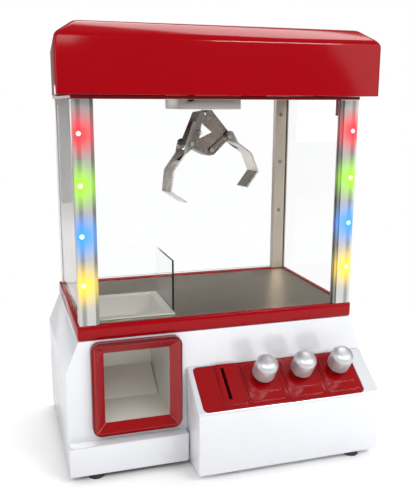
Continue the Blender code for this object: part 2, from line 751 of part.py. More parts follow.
def post_outline(side):
    """A front post from above: a channel open to the back, with two lips that hold the front pane."""
    out, inner, wall, deep = POST_OUT, POST_IN, POST_WALL, POST_DEPTH
    lip = inner - LIP_WIDTH
    near = LIP_NEAR
    first, second = near + LIP_THICK, LIPS_BACK - LIP_THICK
    half = [
        (inner, 0),
        (out - POST_CORNER, 0),
        (out - 0.3 * POST_CORNER, 0.3 * POST_CORNER),
        (out, POST_CORNER),
        (out, deep),
        (out - wall, deep),
        (out - wall, wall),
        (inner + wall, wall),
        (inner + wall, deep),
        (inner, deep),
        (inner, LIPS_BACK),
        (lip, LIPS_BACK),
        (lip, second),
        (inner, second),
        (inner, first),
        (lip, first),
        (lip, near),
        (inner, near),
    ]
    return [(side * x, y) for x, y in (half if side > 0 else half[::-1])]


def make_front_post(stuff, root, word, side):
    low = LEDGE_TOP + GAP
    post = slab(f"post_front_{word}", post_outline(side), low, POST_TOP, "Z", stuff["silver"], root)
    holes = [
        cylinder(f"led_hole_{word}_{k}", (side * LED_AT, 0, z), LED_RADIUS + GAP, 8 * MM, "Y", sides=14)
        for k, z in enumerate(LED_HEIGHTS)
    ]
    return cut(post, *holes)


def make_led_strip(stuff, root, word, side):
    """A circuit strip inside the post, with a lamp that looks out through each hole."""
    board_near = POST_WALL + 1.6 * MM
    inner, outer = sorted((side * (LED_AT - 5 * MM), side * (LED_AT + 2.5 * MM)))
    margin = 14 * MM
    board = box(
        f"led_strip_{word}",
        (inner, board_near, LED_HEIGHTS[0] - margin),
        (outer, board_near + 1.4 * MM, LED_HEIGHTS[-1] + margin),
        stuff["lamp"],
        root,
    )
    lamps = []
    for k, z in enumerate(LED_HEIGHTS):
        length = board_near + 0.7 * MM
        lamps.append(
            cylinder(f"lamp_{word}_{k}", (side * LED_AT, length / 2, z), LED_RADIUS, length, "Y", sides=12)
        )
        lamps.append(
            cylinder(
                f"lamp_tip_{word}_{k}",
                (side * LED_AT, -0.1 * MM, z),
                LED_RADIUS * 0.55,
                1.2 * MM,
                "Y",
                sides=12,
                end_radius=LED_RADIUS,
            )
        )
    return join(board, *lamps)


def rear_post_outline(side):
    """A rear post from above: a channel that takes the edge of the side pane."""
    out, inner, wall = REAR_OUT, REAR_IN, REAR_POST_WALL
    near, far = REAR_FRONT + GAP, LEDGE_DEPTH - 0.5 * MM
    pane_edge = PANE_IN - GAP
    half = [
        (inner, near),
        (pane_edge, near),
        (pane_edge, near + wall),
        (inner + wall, near + wall),
        (inner + wall, far - wall),
        (out - wall, far - wall),
        (out - wall, near),
        (out, near),
        (out, far),
        (inner, far),
    ]
    return [(side * x, y) for x, y in (half if side > 0 else half[::-1])]


def make_rear_posts(stuff, root):
    low = LEDGE_TOP + GAP
    for word, side in (("left", -1), ("right", 1)):
        post = slab(f"post_rear_{word}", rear_post_outline(side), low, POST_TOP, "Z", stuff["silver"], root)
        if side < 0:
            continue
        for k, (foot, head) in enumerate(HINGE_LUGS):
            middle = (foot + head) / 2
            at = (HINGE_X, HINGE_Y, middle)
            boss = cylinder(f"hinge_lug_{k}", at, HINGE_BOSS, head - foot, "Z", sides=14)
            web = box(
                f"hinge_lug_web_{k}",
                (HINGE_X - 1.3 * MM, LEDGE_DEPTH - 1.0 * MM, foot + WEB_SHORT),
                (HINGE_X + 1.7 * MM, HINGE_Y, head - WEB_SHORT),
            )
            join(post, boss, web)
        middle = (HINGE_X, HINGE_Y, (low + POST_TOP) / 2)
        cut(post, cylinder("hinge_bore", middle, HINGE_ROD + GAP, POST_TOP - low - 4 * MM, "Z", sides=14))


def make_panes(stuff, root):
    low, high = LEDGE_TOP + GAP, POST_TOP
    pane_front = LIP_NEAR + LIP_THICK + GAP
    reach = POST_IN - GAP
    box(
        "front_window",
        (-reach, pane_front, low),
        (reach, pane_front + PANE_THICK, high),
        stuff["clear"],
        root,
    )
    for word, side in (("left", -1), ("right", 1)):
        inner, outer = sorted((side * PANE_IN, side * (PANE_IN + PANE_THICK)))
        box(
            f"{word}_window",
            (inner, POST_WALL + PANE_IN_POST, low),
            (outer, REAR_FRONT + PANE_IN_POST, high),
            stuff["clear"],
            root,
        )


def make_rear_door(stuff, root):
    """The clear loading door at the back. It swings out on a rod at its right edge."""
    pivot = empty("rear_door_hinge", root, (HINGE_X, HINGE_Y, 0))
    low, high = LEDGE_TOP + 2 * GAP, POST_TOP - GAP
    near = LEDGE_DEPTH + GAP
    far = near + PANE_THICK
    left = -REAR_OUT + DOOR_SIDE_GAP - HINGE_X
    door = box(
        "rear_door",
        (left, near - HINGE_Y, low),
        (-HINGE_BOSS - GAP, far - HINGE_Y, high),
        stuff["clear"],
        pivot,
    )
    for k, (foot, head) in enumerate(HINGE_LUGS):
        start = head + GAP if k == 0 else foot - GAP - HINGE_LUG
        middle = start + HINGE_LUG / 2
        boss = cylinder(f"door_knuckle_{k}", (0, 0, middle), HINGE_BOSS, HINGE_LUG, "Z", sides=14)
        web = box(
            f"door_knuckle_web_{k}",
            (-HINGE_BOSS - 2 * MM, near - HINGE_Y + GAP, start + WEB_SHORT),
            (-0.3 * MM, far - HINGE_Y - 0.25 * MM, start + HINGE_LUG - WEB_SHORT),
        )
        join(door, boss, web)
    height = LEDGE_TOP + PULL_ABOVE_LEDGE
    pull_at = (left + PULL_FROM_EDGE, far - HINGE_Y + PULL_LENGTH / 2 - PULL_ROOT, height)
    pull = cylinder("door_pull", pull_at, PULL_RADIUS, PULL_LENGTH, "Y", sides=16)
    join(door, pull)
    middle = (0, 0, (low + high) / 2)
    bore = cylinder("door_bore", middle, HINGE_ROD + GAP, high - low - 2 * MM, "Z", sides=14)
    cut(door, bore)
    foot, head = HINGE_LUGS[0][0] - 2 * MM, HINGE_LUGS[-1][1] + 2 * MM
    cylinder(
        "door_hinge_rod",
        (HINGE_X, HINGE_Y, (foot + head) / 2),
        HINGE_ROD,
        head - foot,
        "Z",
        stuff["steel"],
        root,
        sides=12,
    )


def make_top_frame(stuff, root):
    """The dark frame that the posts carry, with the gantry's opening and a block in each front corner."""
    frame = box(
        "top_frame",
        (-CAB_HALF + RIM_INSET, 0.2 * MM, RIM_LOW),
        (CAB_HALF - RIM_INSET, LEDGE_DEPTH, RIM_TOP),
        stuff["dark_red"],
        root,
    )
    opening = box(
        "gantry_opening",
        (-OPENING_HALF, RAIL_FROM_EDGE + 4 * MM, RIM_LOW - PAST),
        (OPENING_HALF, RAIL_BACK - 3 * MM, RIM_TOP + PAST),
    )
    cut(frame, opening)
    near = LIPS_BACK + GAP
    for word, side in (("left", -1), ("right", 1)):
        inner, outer = sorted((side * (POST_IN - LIP_WIDTH), side * (POST_IN - GAP)))
        low, high = (inner, near, RIM_LOW - CORNER_BLOCK), (outer, POST_DEPTH - 0.4 * MM, RIM_LOW + MM)
        block = box(f"corner_block_{word}", low, high)
        join(frame, block)
    return frame


def make_hood(stuff, root):
    """The red hood: it narrows to the back, and its top edge is bevelled."""
    low = RIM_TOP + GAP
    shape = bmesh.new()
    bmesh.ops.create_cube(shape, size=1.0)
    for corner in shape.verts:
        back, right = corner.co.y > 0, corner.co.x > 0
        half = HOOD_BACK_HALF if back else HOOD_HALF
        corner.co.x = half if right else -half
        corner.co.y = DEPTH if back else -HOOD_PROUD
        corner.co.z = HOOD_SHOULDER if corner.co.z > 0 else low
    top = [face for face in shape.faces if face.normal.z > 0.9]
    risen = bmesh.ops.extrude_face_region(shape, geom=top)["geom"]
    for corner in (item for item in risen if isinstance(item, bmesh.types.BMVert)):
        corner.co.x -= math.copysign(HOOD_SIDE_BEVEL, corner.co.x)
        corner.co.y += HOOD_FRONT_BEVEL if corner.co.y < 0 else -HOOD_FRONT_BEVEL / 2
        corner.co.z = HEIGHT
    bmesh.ops.delete(shape, geom=top, context="FACES_ONLY")
    bmesh.ops.recalc_face_normals(shape, faces=shape.faces)
    under = [face for face in shape.faces if max(v.co.z for v in face.verts) <= low + 1e-6]
    bmesh.ops.delete(shape, geom=under, context="FACES_ONLY")
    mesh = bpy.data.meshes.new("hood_shell")
    shape.to_mesh(mesh)
    shape.free()
    hood = place("hood_shell", mesh, stuff["red"], root)
    soften(hood, 3.0 * MM, 3)
    skin = hood.modifiers.new("wall", "SOLIDIFY")
    skin.thickness = HOOD_WALL
    skin.offset = -1.0
    return hood


def slope_frame(root):
    """The frame of the sloping panel: X across, Y up the slope, Z out of it, from its front edge."""
    return empty("slope_frame", root, (0, -BOX_PROUD, BOX_FRONT_TOP), (SLOPE, 0, 0))


def make_control_box(stuff, root, slope):
    far = BASE_FRONT - GAP
    profile = [
        (-BOX_PROUD, FOOT_HEIGHT),
        (far, FOOT_HEIGHT),
        (far, BOX_REAR_TOP),
        (-BOX_PROUD, BOX_FRONT_TOP),
    ]
    shell = slab("control_box", profile, BOX_LEFT, BASE_HALF, "X", stuff["white"], root)
    soften(shell, 1.4 * MM, 2)
    wall = BOX_WALL
    drop = SLOPE_WALL / math.cos(SLOPE)
    run = math.tan(SLOPE)
    inside = [
        (-BOX_PROUD + wall, FOOT_HEIGHT + wall),
        (far + PAST, FOOT_HEIGHT + wall),
        (far + PAST, BOX_REAR_TOP - drop + PAST * run),
        (-BOX_PROUD + wall, BOX_FRONT_TOP - drop + wall * run),
    ]
    hollow = slab("box_hollow", inside, BOX_LEFT + wall, BASE_HALF - wall, "X")
    edge = rounded(PANEL_LEFT - GAP, PANEL_RIGHT + GAP, PANEL_FRONT - GAP, PANEL_BACK + GAP, PANEL_RADIUS)
    pocket = slab("panel_pocket", edge, PANEL_LOW - GAP, PAST, "Z", None, slope)
    window = box(
        "panel_window",
        (PANEL_LEFT + PANEL_SEAT, PANEL_FRONT + PANEL_SEAT, -2 * PAST),
        (PANEL_RIGHT - PANEL_SEAT, PANEL_BACK - PANEL_SEAT, PAST),
        None,
        slope,
    )
    return cut(shell, hollow, pocket, window)


def make_panel(stuff, slope):
    """The red panel: a coin band with its slot, and a stepped pad with a round hole for each lever."""
    top = PANEL_TOP
    outline = rounded(PANEL_LEFT, PANEL_RIGHT, PANEL_FRONT, PANEL_BACK, PANEL_RADIUS)
    panel = slab("control_panel", outline, PANEL_LOW, top, "Z", stuff["red"], slope)
    sunk = top - BITE
    left, right = SLOT_X - 5.6 * MM, SLOT_X + 13.5 * MM
    edge = rounded(left, right, SLOT_FRONT - 5.4 * MM, SLOT_BACK + 3.7 * MM, 1.5 * MM)
    join(panel, slab("coin_band", edge, sunk, top + 2 * TIER, "Z"))
    for k, x in enumerate(LEVER_X):
        for word, half, near, far, radius, rise in (
            ("low", PAD_HALF + PAD_STEP, 5.6 * MM, 42.9 * MM, 3.2 * MM, TIER),
            ("high", PAD_HALF, LEVER_S - PAD_HALF, LEVER_S + PAD_HALF, 3.0 * MM, 2 * TIER),
        ):
            edge = rounded(x - half, x + half, near, far, radius)
            join(panel, slab(f"pad_{word}_{k}", edge, sunk, top + rise, "Z"))
    depth = PANEL_THICK + 2 * TIER
    below = PANEL_LOW - PIVOT_H
    foot, mouth = (math.sqrt(BALL_RADIUS**2 - h**2) + HOLE_CLEAR for h in (below, below + depth))
    reach = 3 * MM
    slant = (foot - mouth) / depth * reach
    for k, x in enumerate(LEVER_X):
        hole = cylinder(
            f"lever_hole_{k}",
            (x, LEVER_S, PANEL_LOW + depth / 2),
            foot + slant,
            depth + 2 * reach,
            "Z",
            sides=28,
            end_radius=mouth - slant,
        )
        cut(panel, hole)
    half = SLOT_WIDTH / 2
    slot = box("coin_slot", (SLOT_X - half, SLOT_FRONT, -PAST), (SLOT_X + half, SLOT_BACK, PAST))
    return cut(panel, slot)


def make_levers(stuff, slope):
    """Three levers: a ball on a cross pin, a stem and a domed knob. The first tips across the slope."""
    for k, x in enumerate(LEVER_X):
        number = k + 1
        pivot = empty(f"lever_{number}_pivot", slope, (x, LEVER_S, PIVOT_H))
        lever = ball(f"lever_{number}", (0, 0, 0), BALL_RADIUS, stuff["black"], pivot, sides=22)
        stem_top = BALL_SUNK + KNOB_CLEAR + 6 * MM
        stem_low = -BALL_RADIUS - STEM_BELOW
        middle = (stem_top + stem_low) / 2
        length = stem_top - stem_low
        stem = cylinder(f"lever_stem_{number}", (0, 0, middle), LEVER_RADIUS, length, "Z", sides=13)
        pin_half = CHEEK_OUT - GAP
        axis = "Y" if k == 0 else "X"
        pin = cylinder(f"lever_pin_{number}", (0, 0, 0), TRUNNION_RADIUS, 2 * pin_half, axis, sides=11)
        join(lever, stem, pin)
        bottom = BALL_SUNK + KNOB_CLEAR
        hole = LEVER_RADIUS + GAP
        roof = stem_top + GAP
        edge = bottom + KNOB_HEIGHT - KNOB_DOME
        dome = [
            (KNOB_RADIUS * math.sin(a), edge + KNOB_DOME * math.cos(a))
            for a in (math.radians(d) for d in (0, 22, 42, 60, 76, 90))
        ]
        profile = dome + [
            (KNOB_RADIUS - 0.1 * MM, bottom + 2.0 * MM),
            (KNOB_RADIUS - 1.6 * MM, bottom),
            (hole, bottom),
            (hole, roof),
            (0, roof),
        ]
        turned(f"knob_{number}", profile, stuff["knob"], pivot)


def make_lever_frame(stuff, slope):
    """One bracket under the panel, with two cheeks for each lever's cross pin."""
    high = PANEL_LOW - GAP
    low = PIVOT_H - 4 * MM
    thick, reach = BRACKET_THICK, CHEEK_OUT
    root = high - thick / 2
    left, right = LEVER_X[0] - reach, LEVER_X[-1] + reach
    front, back = LEVER_S - reach, LEVER_S + reach
    frame = box("lever_frame", (left, front, high - thick), (right, back, high), stuff["nylon"], slope)
    for k, x in enumerate(LEVER_X):
        for side in (-1, 1):
            near, far = sorted((side * CHEEK_AT, side * reach))
            if k == 0:
                ends = (x - CHEEK_HALF, LEVER_S + near, low), (x + CHEEK_HALF, LEVER_S + far, root)
            else:
                ends = (x + near, LEVER_S - CHEEK_HALF, low), (x + far, LEVER_S + CHEEK_HALF, root)
            join(frame, box(f"cheek_{k}_{side}", *ends))
    for k, x in enumerate(LEVER_X):
        well = cylinder(f"ball_well_{k}", (x, LEVER_S, high), BALL_RADIUS + GAP, 6 * MM, "Z", sides=28)
        axis = "Y" if k == 0 else "X"
        at = (x, LEVER_S, PIVOT_H)
        bore = cylinder(f"cheek_bore_{k}", at, TRUNNION_RADIUS + GAP, 2 * reach + 2 * MM, axis, sides=12)
        cut(frame, well, bore)
    return frame


def make_switch_board(stuff, slope):
    """The board under the levers, with a switch on each side of each stem, hung on two pillars."""
    top = STEM_LOW - 1.5 * MM
    edge = 13 * MM
    left, right = LEVER_X[0] - edge, LEVER_X[-1] + edge
    front, back = LEVER_S - edge, LEVER_S + edge
    board = box("switch_board", (left, front, top - BOARD_THICK), (right, back, top), stuff["board"], slope)
    for k, x in enumerate(LEVER_X):
        for side in (-1, 1):
            near, far = sorted((side * 7 * MM, side * 11 * MM))
            low, high = top - BITE, top + 4 * MM
            if k == 0:
                ends = (x + near, LEVER_S - 3 * MM, low), (x + far, LEVER_S + 3 * MM, high)
            else:
                ends = (x - 3 * MM, LEVER_S + near, low), (x + 3 * MM, LEVER_S + far, high)
            join(board, box(f"tact_{k}_{side}", *ends))
    roof = PANEL_LOW - BRACKET_THICK - 2 * GAP
    foot = top - BOARD_THICK / 2
    for k in range(LEVER_COUNT - 1):
        middle = ((LEVER_X[k] + LEVER_X[k + 1]) / 2, LEVER_S, (foot + roof) / 2)
        pillar = cylinder(f"pillar_{k}", middle, 1.8 * MM, roof - foot, "Z", sides=12)
        join(board, pillar)
    return board


def make_coin_works(stuff, slope):
    """The coin's drop tube, and the feeler that the coin tips on its way down."""
    wall = TUBE_WALL
    half = SLOT_WIDTH / 2 + 0.4 * MM
    high = PANEL_LOW - GAP
    low = high - TUBE_LENGTH
    margin = 1.0 * MM
    tube = box(
        "coin_tube",
        (SLOT_X - half - wall, SLOT_FRONT - margin - wall, low),
        (SLOT_X + half + wall, SLOT_BACK + margin + wall, high),
        stuff["nylon"],
        slope,
    )
    bore = box(
        "coin_bore",
        (SLOT_X - half, SLOT_FRONT - margin, low - MM),
        (SLOT_X + half, SLOT_BACK + margin, high + MM),
    )
    feeler_s, feeler_h = 22 * MM, low + 9 * MM
    window = box(
        "feeler_window",
        (SLOT_X, feeler_s - 2.2 * MM, feeler_h - 6 * MM),
        (SLOT_X + 10 * MM, feeler_s + 2.2 * MM, feeler_h + 2.4 * MM),
    )
    pivot_x = SLOT_X + half + wall + 3.6 * MM
    ears = []
    for side in (-1, 1):
        near, far = sorted((side * 3.6 * MM, side * 5.2 * MM))
        low_corner = (SLOT_X + half + wall / 2, feeler_s + near, feeler_h - 2.4 * MM)
        high_corner = (pivot_x + 2.4 * MM, feeler_s + far, feeler_h + 2.4 * MM)
        ears.append(box(f"feeler_ear_{side}", low_corner, high_corner))
    join(tube, *ears)
    at = (pivot_x, feeler_s, feeler_h)
    ear_bore = cylinder("feeler_bore", at, FEELER_RADIUS + GAP, 2 * PAST, "Y", sides=12)
    cut(tube, bore, window, ear_bore)
    pivot = empty("coin_feeler_pivot", slope, at)
    feeler = cylinder("coin_feeler", (0, 0, 0), FEELER_RADIUS, 10 * MM, "Y", stuff["steel"], pivot, sides=12)
    blade = box("feeler_blade", (-6.0 * MM, -1.6 * MM, -0.5 * MM), (5.0 * MM, 1.6 * MM, 0.5 * MM))
    join(feeler, blade)


def make_electrics(stuff, root):
    """The main board, the loudspeaker, the power switch and the adaptor socket."""
    plate_top = FOOT_HEIGHT + GAP + PLATE_THICK
    board_low = plate_top + GAP
    board = box(
        "main_board",
        (-20 * MM, 20 * MM, board_low + BOARD_UP),
        (60 * MM, 70 * MM, board_low + BOARD_UP + BOARD_THICK),
        stuff["board"],
        root,
    )
    for k, (x, y, wide, deep, tall) in enumerate(
        ((0, 34, 14, 14, 3), (30, 40, 10, 18, 4), (48, 58, 12, 8, 9), (-10, 60, 8, 8, 11))
    ):
        low = ((x - wide / 2) * MM, (y - deep / 2) * MM, board_low + BOARD_UP + BITE)
        high = ((x + wide / 2) * MM, (y + deep / 2) * MM, board_low + BOARD_UP + BOARD_THICK + tall * MM)
        join(board, box(f"chip_{k}", low, high))
    for k, (x, y) in enumerate(((-16, 24), (56, 24), (-16, 66), (56, 66))):
        middle = (x * MM, y * MM, board_low + 2.4 * MM)
        join(board, cylinder(f"standoff_{k}", middle, 2 * MM, 4.8 * MM, "Z", sides=10))
    seat = plate_top + GAP
    cone = [
        (0, seat + 18 * MM),
        (12 * MM, seat + 18 * MM),
        (12 * MM, seat + 10 * MM),
        (24 * MM, seat + 3 * MM),
        (26 * MM, seat + 3 * MM),
        (26 * MM, seat),
        (0, seat),
    ]
    turned("speaker", cone, stuff["black"], root, (90 * MM, 36 * MM, 0), steps=24)
    rear = BASE_BACK
    knob = box(
        "power_switch",
        (SWITCH_LEFT + GAP, rear - BASE_WALL - 3 * MM, SWITCH_LOW + GAP),
        (SWITCH_LEFT + SWITCH_WIDTH - GAP, rear + SWITCH_PROUD, SWITCH_LOW + SWITCH_HEIGHT),
        stuff["black"],
        root,
    )
    soften(knob, 0.5 * MM, 1)
    length = 10 * MM
    at = (JACK_X, rear - length / 2, JACK_Z)
    socket = cylinder("power_socket", at, JACK_RADIUS - GAP, length, "Y", stuff["black"], root)
    at = (JACK_X, rear - BASE_WALL - GAP - 3 * MM, JACK_Z)
    flange = cylinder("socket_flange", at, JACK_FLANGE, 6 * MM, "Y")
    bore = cylinder("socket_bore", (JACK_X, rear, JACK_Z), 3 * MM, 14 * MM, "Y")
    pin = cylinder("socket_pin", (JACK_X, rear - 6 * MM, JACK_Z), 0.9 * MM, 8 * MM, "Y", sides=10)
    join(socket, flange)
    cut(socket, bore)
    join(socket, pin)


def rack_teeth(start, count, land, tip, direction):
    """A rack's toothed edge as (place, height) points, teeth up, from a start point."""
    points = []
    root_half, tip_half = 0.30 * RACK_PITCH, 0.11 * RACK_PITCH
    for k in range(count):
        centre = start + direction * RACK_PITCH * k
        points += [
            (centre - direction * root_half, land),
            (centre - direction * tip_half, tip),
            (centre + direction * tip_half, tip),
            (centre + direction * root_half, land),
        ]
    return points


def pinion_outline():
    """A pinion's outline. A tooth space points straight down."""
    outline = []
    pitch = 2 * math.pi / PINION_TEETH
    tip, root = PINION_PITCH_RADIUS + 0.45 * MM, PINION_PITCH_RADIUS - 1.15 * MM
    for k in range(PINION_TEETH):
        middle = -math.pi / 2 + (k + 0.5) * pitch
        for radius, share in ((root, -0.31), (tip, -0.10), (tip, 0.10), (root, 0.31)):
            angle = middle + share * pitch
            outline.append((radius * math.cos(angle), radius * math.sin(angle)))
    return outline


def make_rails(stuff, root):
    """Two rails on the top frame, front to back. The right one carries the rack of the bridge's drive."""
    near, far = RAIL_FROM_EDGE, RAIL_BACK
    half = RAIL_WIDTH / 2
    for word, side in (("left", -1), ("right", 1)):
        inner, outer = side * RAIL_AT - half, side * RAIL_AT + half
        rail = box(f"rail_{word}", (inner, near, RAIL_LOW), (outer, far, RAIL_TOP), stuff["nylon"], root)
        if side > 0:
            ends = (near + 1 * MM, far - 1 * MM)
            before = int((CARRIAGE_Y - near - 7 * MM) / RACK_PITCH)
            after = int((far - CARRIAGE_Y - 11 * MM) / RACK_PITCH)
            first = CARRIAGE_Y - RACK_PITCH * before
            teeth = rack_teeth(first, before + 1 + after, RACK_LAND, RACK_LAND + TOOTH_HEIGHT, 1)
            foot = RAIL_LOW + GAP
            edge = [(ends[1], RACK_LAND), (ends[1], foot), (ends[0], foot), (ends[0], RACK_LAND)]
            rack = slab("rack_teeth_y", teeth + edge, RACK_IN, inner + 0.8 * MM, "X")
            join(rail, rack)


def make_bridge(stuff, bridge):
    """The bridge: a shoe astride each rail, two round rods and a toothed bar for the carriage."""
    half = RAIL_WIDTH / 2
    shoe_low = RAIL_LOW + 1.5 * MM
    shoe_top = ROD_Z + ROD_RADIUS + 5 * MM
    wall = SHOE_WALL
    near, far = TRUCK_Y
    outer = RAIL_AT + half + GAP + wall
    inner = RAIL_AT - half - GAP
    frame = box(
        "bridge_frame",
        (-outer, near, shoe_low),
        (-inner, far, shoe_top),
        stuff["nylon"],
        bridge,
    )
    right = box("bridge_shoe_right", (inner, near, shoe_low), (outer, far, shoe_top))
    bar_low = X_RACK_LAND - 5 * MM
    reach = inner + 2 * MM
    right_teeth = int((inner - 7 * MM - CARRIAGE_X) / RACK_PITCH)
    left_teeth = int((inner - 30 * MM + CARRIAGE_X) / RACK_PITCH)
    first = CARRIAGE_X + RACK_PITCH * right_teeth
    count = right_teeth + 1 + left_teeth
    teeth = rack_teeth(first, count, X_RACK_LAND, X_RACK_LAND + TOOTH_HEIGHT, -1)
    outline = teeth + [(-reach, X_RACK_LAND), (-reach, bar_low), (reach, bar_low), (reach, X_RACK_LAND)]
    bar = slab("rack_teeth_x", outline, X_RACK_Y[0], X_RACK_Y[1], "Y")
    bracket_low = Y_PINION_Z + MOTOR_RADIUS + GAP
    bracket = box(
        "y_motor_bracket",
        (RACK_IN - 16 * MM, CARRIAGE_Y - 6 * MM, bracket_low),
        (inner + 2 * MM, CARRIAGE_Y + 6 * MM, bracket_low + 2 * MM),
    )
    join(frame, bar, right, bracket)
    for side in (-1, 1):
        low_x, high_x = sorted((side * (RAIL_AT - half - GAP - 5 * MM), side * (RAIL_AT + half + GAP)))
        groove = box(
            f"shoe_groove_{side}",
            (low_x, near - MM, shoe_low - MM),
            (high_x, far + MM, RAIL_TOP + GAP),
        )
        cut(frame, groove)
    for k, side in enumerate((-1, 1)):
        y = CARRIAGE_Y + side * ROD_APART / 2
        hole = cylinder(f"rod_hole_{k}", (0, y, ROD_Z), ROD_RADIUS + GAP, 2 * (inner + 4 * MM), "X", sides=16)
        cut(frame, hole)
        word = ("front", "rear")[k]
        at, length = (0, y, ROD_Z), 2 * (inner + 4 * MM - GAP)
        cylinder(f"bridge_rod_{word}", at, ROD_RADIUS, length, "X", stuff["steel"], bridge, sides=16)
    return frame


def motor(name, centre, axis, stuff, parent, shaft_end):
    """A small round motor with its shaft reaching to a stated place along its axis."""
    body = cylinder(name, centre, MOTOR_RADIUS, MOTOR_LENGTH, axis, stuff["steel"], parent, sides=20)
    k = "XYZ".index(axis)
    middle = list(centre)
    middle[k] = (centre[k] + shaft_end) / 2
    shaft = cylinder(name + "_shaft", middle, SHAFT_RADIUS, abs(shaft_end - centre[k]), axis, sides=10)
    join(body, shaft)
    return body


def make_y_drive(stuff, bridge):
    """The motor on the bridge and its pinion, which climbs along the right rail's rack."""
    wide = RACK_OUT - RACK_IN
    x_in = RACK_IN + GAP
    pivot = empty("y_pinion_axis", bridge, (0, CARRIAGE_Y, Y_PINION_Z))
    pinion = slab("y_pinion", pinion_outline(), x_in, x_in + wide - 2 * GAP, "X", stuff["nylon"], pivot)
    bore = cylinder("y_pinion_bore", (x_in, 0, 0), SHAFT_RADIUS + GAP, 3 * PAST, "X", sides=10)
    cut(pinion, bore)
    centre = (x_in - GAP - MOTOR_BACK - MOTOR_LENGTH / 2, CARRIAGE_Y, Y_PINION_Z)
    return motor("y_motor", centre, "X", stuff, bridge, x_in + wide - GAP)


def make_carriage(stuff, carriage):
    """The carriage: a sliding frame on the rods, and the silver box that hangs below it."""
    x, y = CARRIAGE_X, CARRIAGE_Y
    half_x, half_y = CARRIAGE_WIDTH / 2, CARRIAGE_DEPTH / 2
    wall = CARRIAGE_WALL
    cover = box(
        "carriage_cover",
        (x - half_x, y - half_y, CARRIAGE_BOTTOM),
        (x + half_x, y + half_y, CARRIAGE_TOP),
        stuff["silver"],
        carriage,
    )
    soften(cover, 0.8 * MM, 2)
    hollow = box(
        "cover_hollow",
        (x - half_x + wall, y - half_y + wall, CARRIAGE_BOTTOM + wall),
        (x + half_x - wall, y + half_y - wall, CARRIAGE_TOP + MM),
    )
    cord_hole = cylinder("cord_hole", (x, y, CARRIAGE_BOTTOM), 2.5 * MM, PAST, "Z", sides=16)
    notch_x, front, notch_z = x - 17 * MM, y - half_y, CARRIAGE_TOP - 5.4 * MM
    notch = cylinder("cover_notch", (notch_x, front, notch_z), 4.2 * MM, 6 * MM, "Y", sides=20)
    notch_top = box(
        "cover_notch_top",
        (notch_x - 4.0 * MM, front - 3.3 * MM, CARRIAGE_TOP - 4.9 * MM),
        (notch_x + 4.0 * MM, front + 3.3 * MM, CARRIAGE_TOP + MM),
    )
    cut(cover, hollow, cord_hole, notch, notch_top)
    plate_low = CARRIAGE_TOP + GAP
    plate_top = plate_low + CARRIAGE_PLATE
    frame = box(
        "carriage_frame",
        (x - half_x + MM, y - half_y, plate_low),
        (x + half_x - MM, y + half_y + 3 * MM, plate_top),
        stuff["black"],
        carriage,
    )
    lug_half = ROD_RADIUS + 2.2 * MM
    for row in (-1, 1):
        rod_y = y + row * ROD_APART / 2
        for side in (-1, 1):
            low_x, high_x = sorted((x + side * (half_x - 9 * MM), x + side * (half_x - MM)))
            lug = box(
                f"rod_lug_{row}_{side}",
                (low_x, rod_y - lug_half, plate_top - MM),
                (high_x, rod_y + lug_half, ROD_Z + lug_half),
            )
            join(frame, lug)
    for row in (-1, 1):
        rod_y = y + row * ROD_APART / 2
        at = (x, rod_y, ROD_Z)
        bore = cylinder(f"lug_bore_{row}", at, ROD_RADIUS + GAP, CARRIAGE_WIDTH + 4 * MM, "X", sides=16)
        cut(frame, bore)
    passage = box(
        "drum_passage",
        (x - 6 * MM, DRUM_Y - 8 * MM, plate_low - MM),
        (x + 6 * MM, DRUM_Y + 8 * MM, plate_top + MM),
    )
    cut(frame, passage)
    bearing = box(
        "drum_bearing",
        (x - DRUM_HALF - 5.5 * MM, DRUM_Y - 4 * MM, DRUM_Z - 4 * MM),
        (x - DRUM_HALF - 1.5 * MM, DRUM_Y + 4 * MM, plate_low + MM),
    )
    join(frame, bearing)
    at = (x - DRUM_HALF - 4 * MM, DRUM_Y, DRUM_Z)
    cut(frame, cylinder("bearing_bore", at, DRUM_AXLE + GAP, 9 * MM, "X", sides=12))


def make_hoist(stuff, carriage):
    """The drum in the carriage box, its geared motor, and the cord down to the claw."""
    x = CARRIAGE_X
    pivot = empty("hoist_drum_axis", carriage, (x, DRUM_Y, DRUM_Z))
    half, flange = DRUM_HALF, 1.2 * MM
    edge = DRUM_RADIUS + DRUM_FLANGE
    profile = [
        (0, half + 4 * MM),
        (DRUM_AXLE, half + 4 * MM),
        (DRUM_AXLE, half),
        (edge, half),
        (edge, half - flange),
        (DRUM_RADIUS, half - flange),
        (DRUM_RADIUS, -half + flange),
        (edge, -half + flange),
        (edge, -half),
        (DRUM_AXLE, -half),
        (DRUM_AXLE, -half - 4 * MM),
        (0, -half - 4 * MM),
    ]
    turned("hoist_drum", profile, stuff["nylon"], pivot, (0, 0, 0), (0, math.pi / 2, 0), steps=18)
    gear_x = x + half + 1.2 * MM
    box_low = CARRIAGE_BOTTOM + CARRIAGE_WALL + GAP
    gearbox = box(
        "hoist_motor",
        (gear_x, DRUM_Y - 6 * MM, box_low),
        (gear_x + 7 * MM, DRUM_Y + 6 * MM, CARRIAGE_TOP - GAP),
        stuff["black"],
        carriage,
    )
    can = cylinder("hoist_can", (gear_x + 11 * MM, DRUM_Y, DRUM_Z), 5.4 * MM, 10 * MM, "X", sides=18)
    bore = cylinder("hoist_bore", (gear_x, DRUM_Y, DRUM_Z), DRUM_AXLE + GAP, 8 * MM, "X", sides=12)
    cut(join(gearbox, can), bore)
    low = CLAW_TOP + GAP
    middle = (x, CARRIAGE_Y, (low + DRUM_Z) / 2)
    cylinder("hoist_cord", middle, CORD_RADIUS - GAP / 2, DRUM_Z - low, "Z", stuff["cord"], carriage, sides=8)


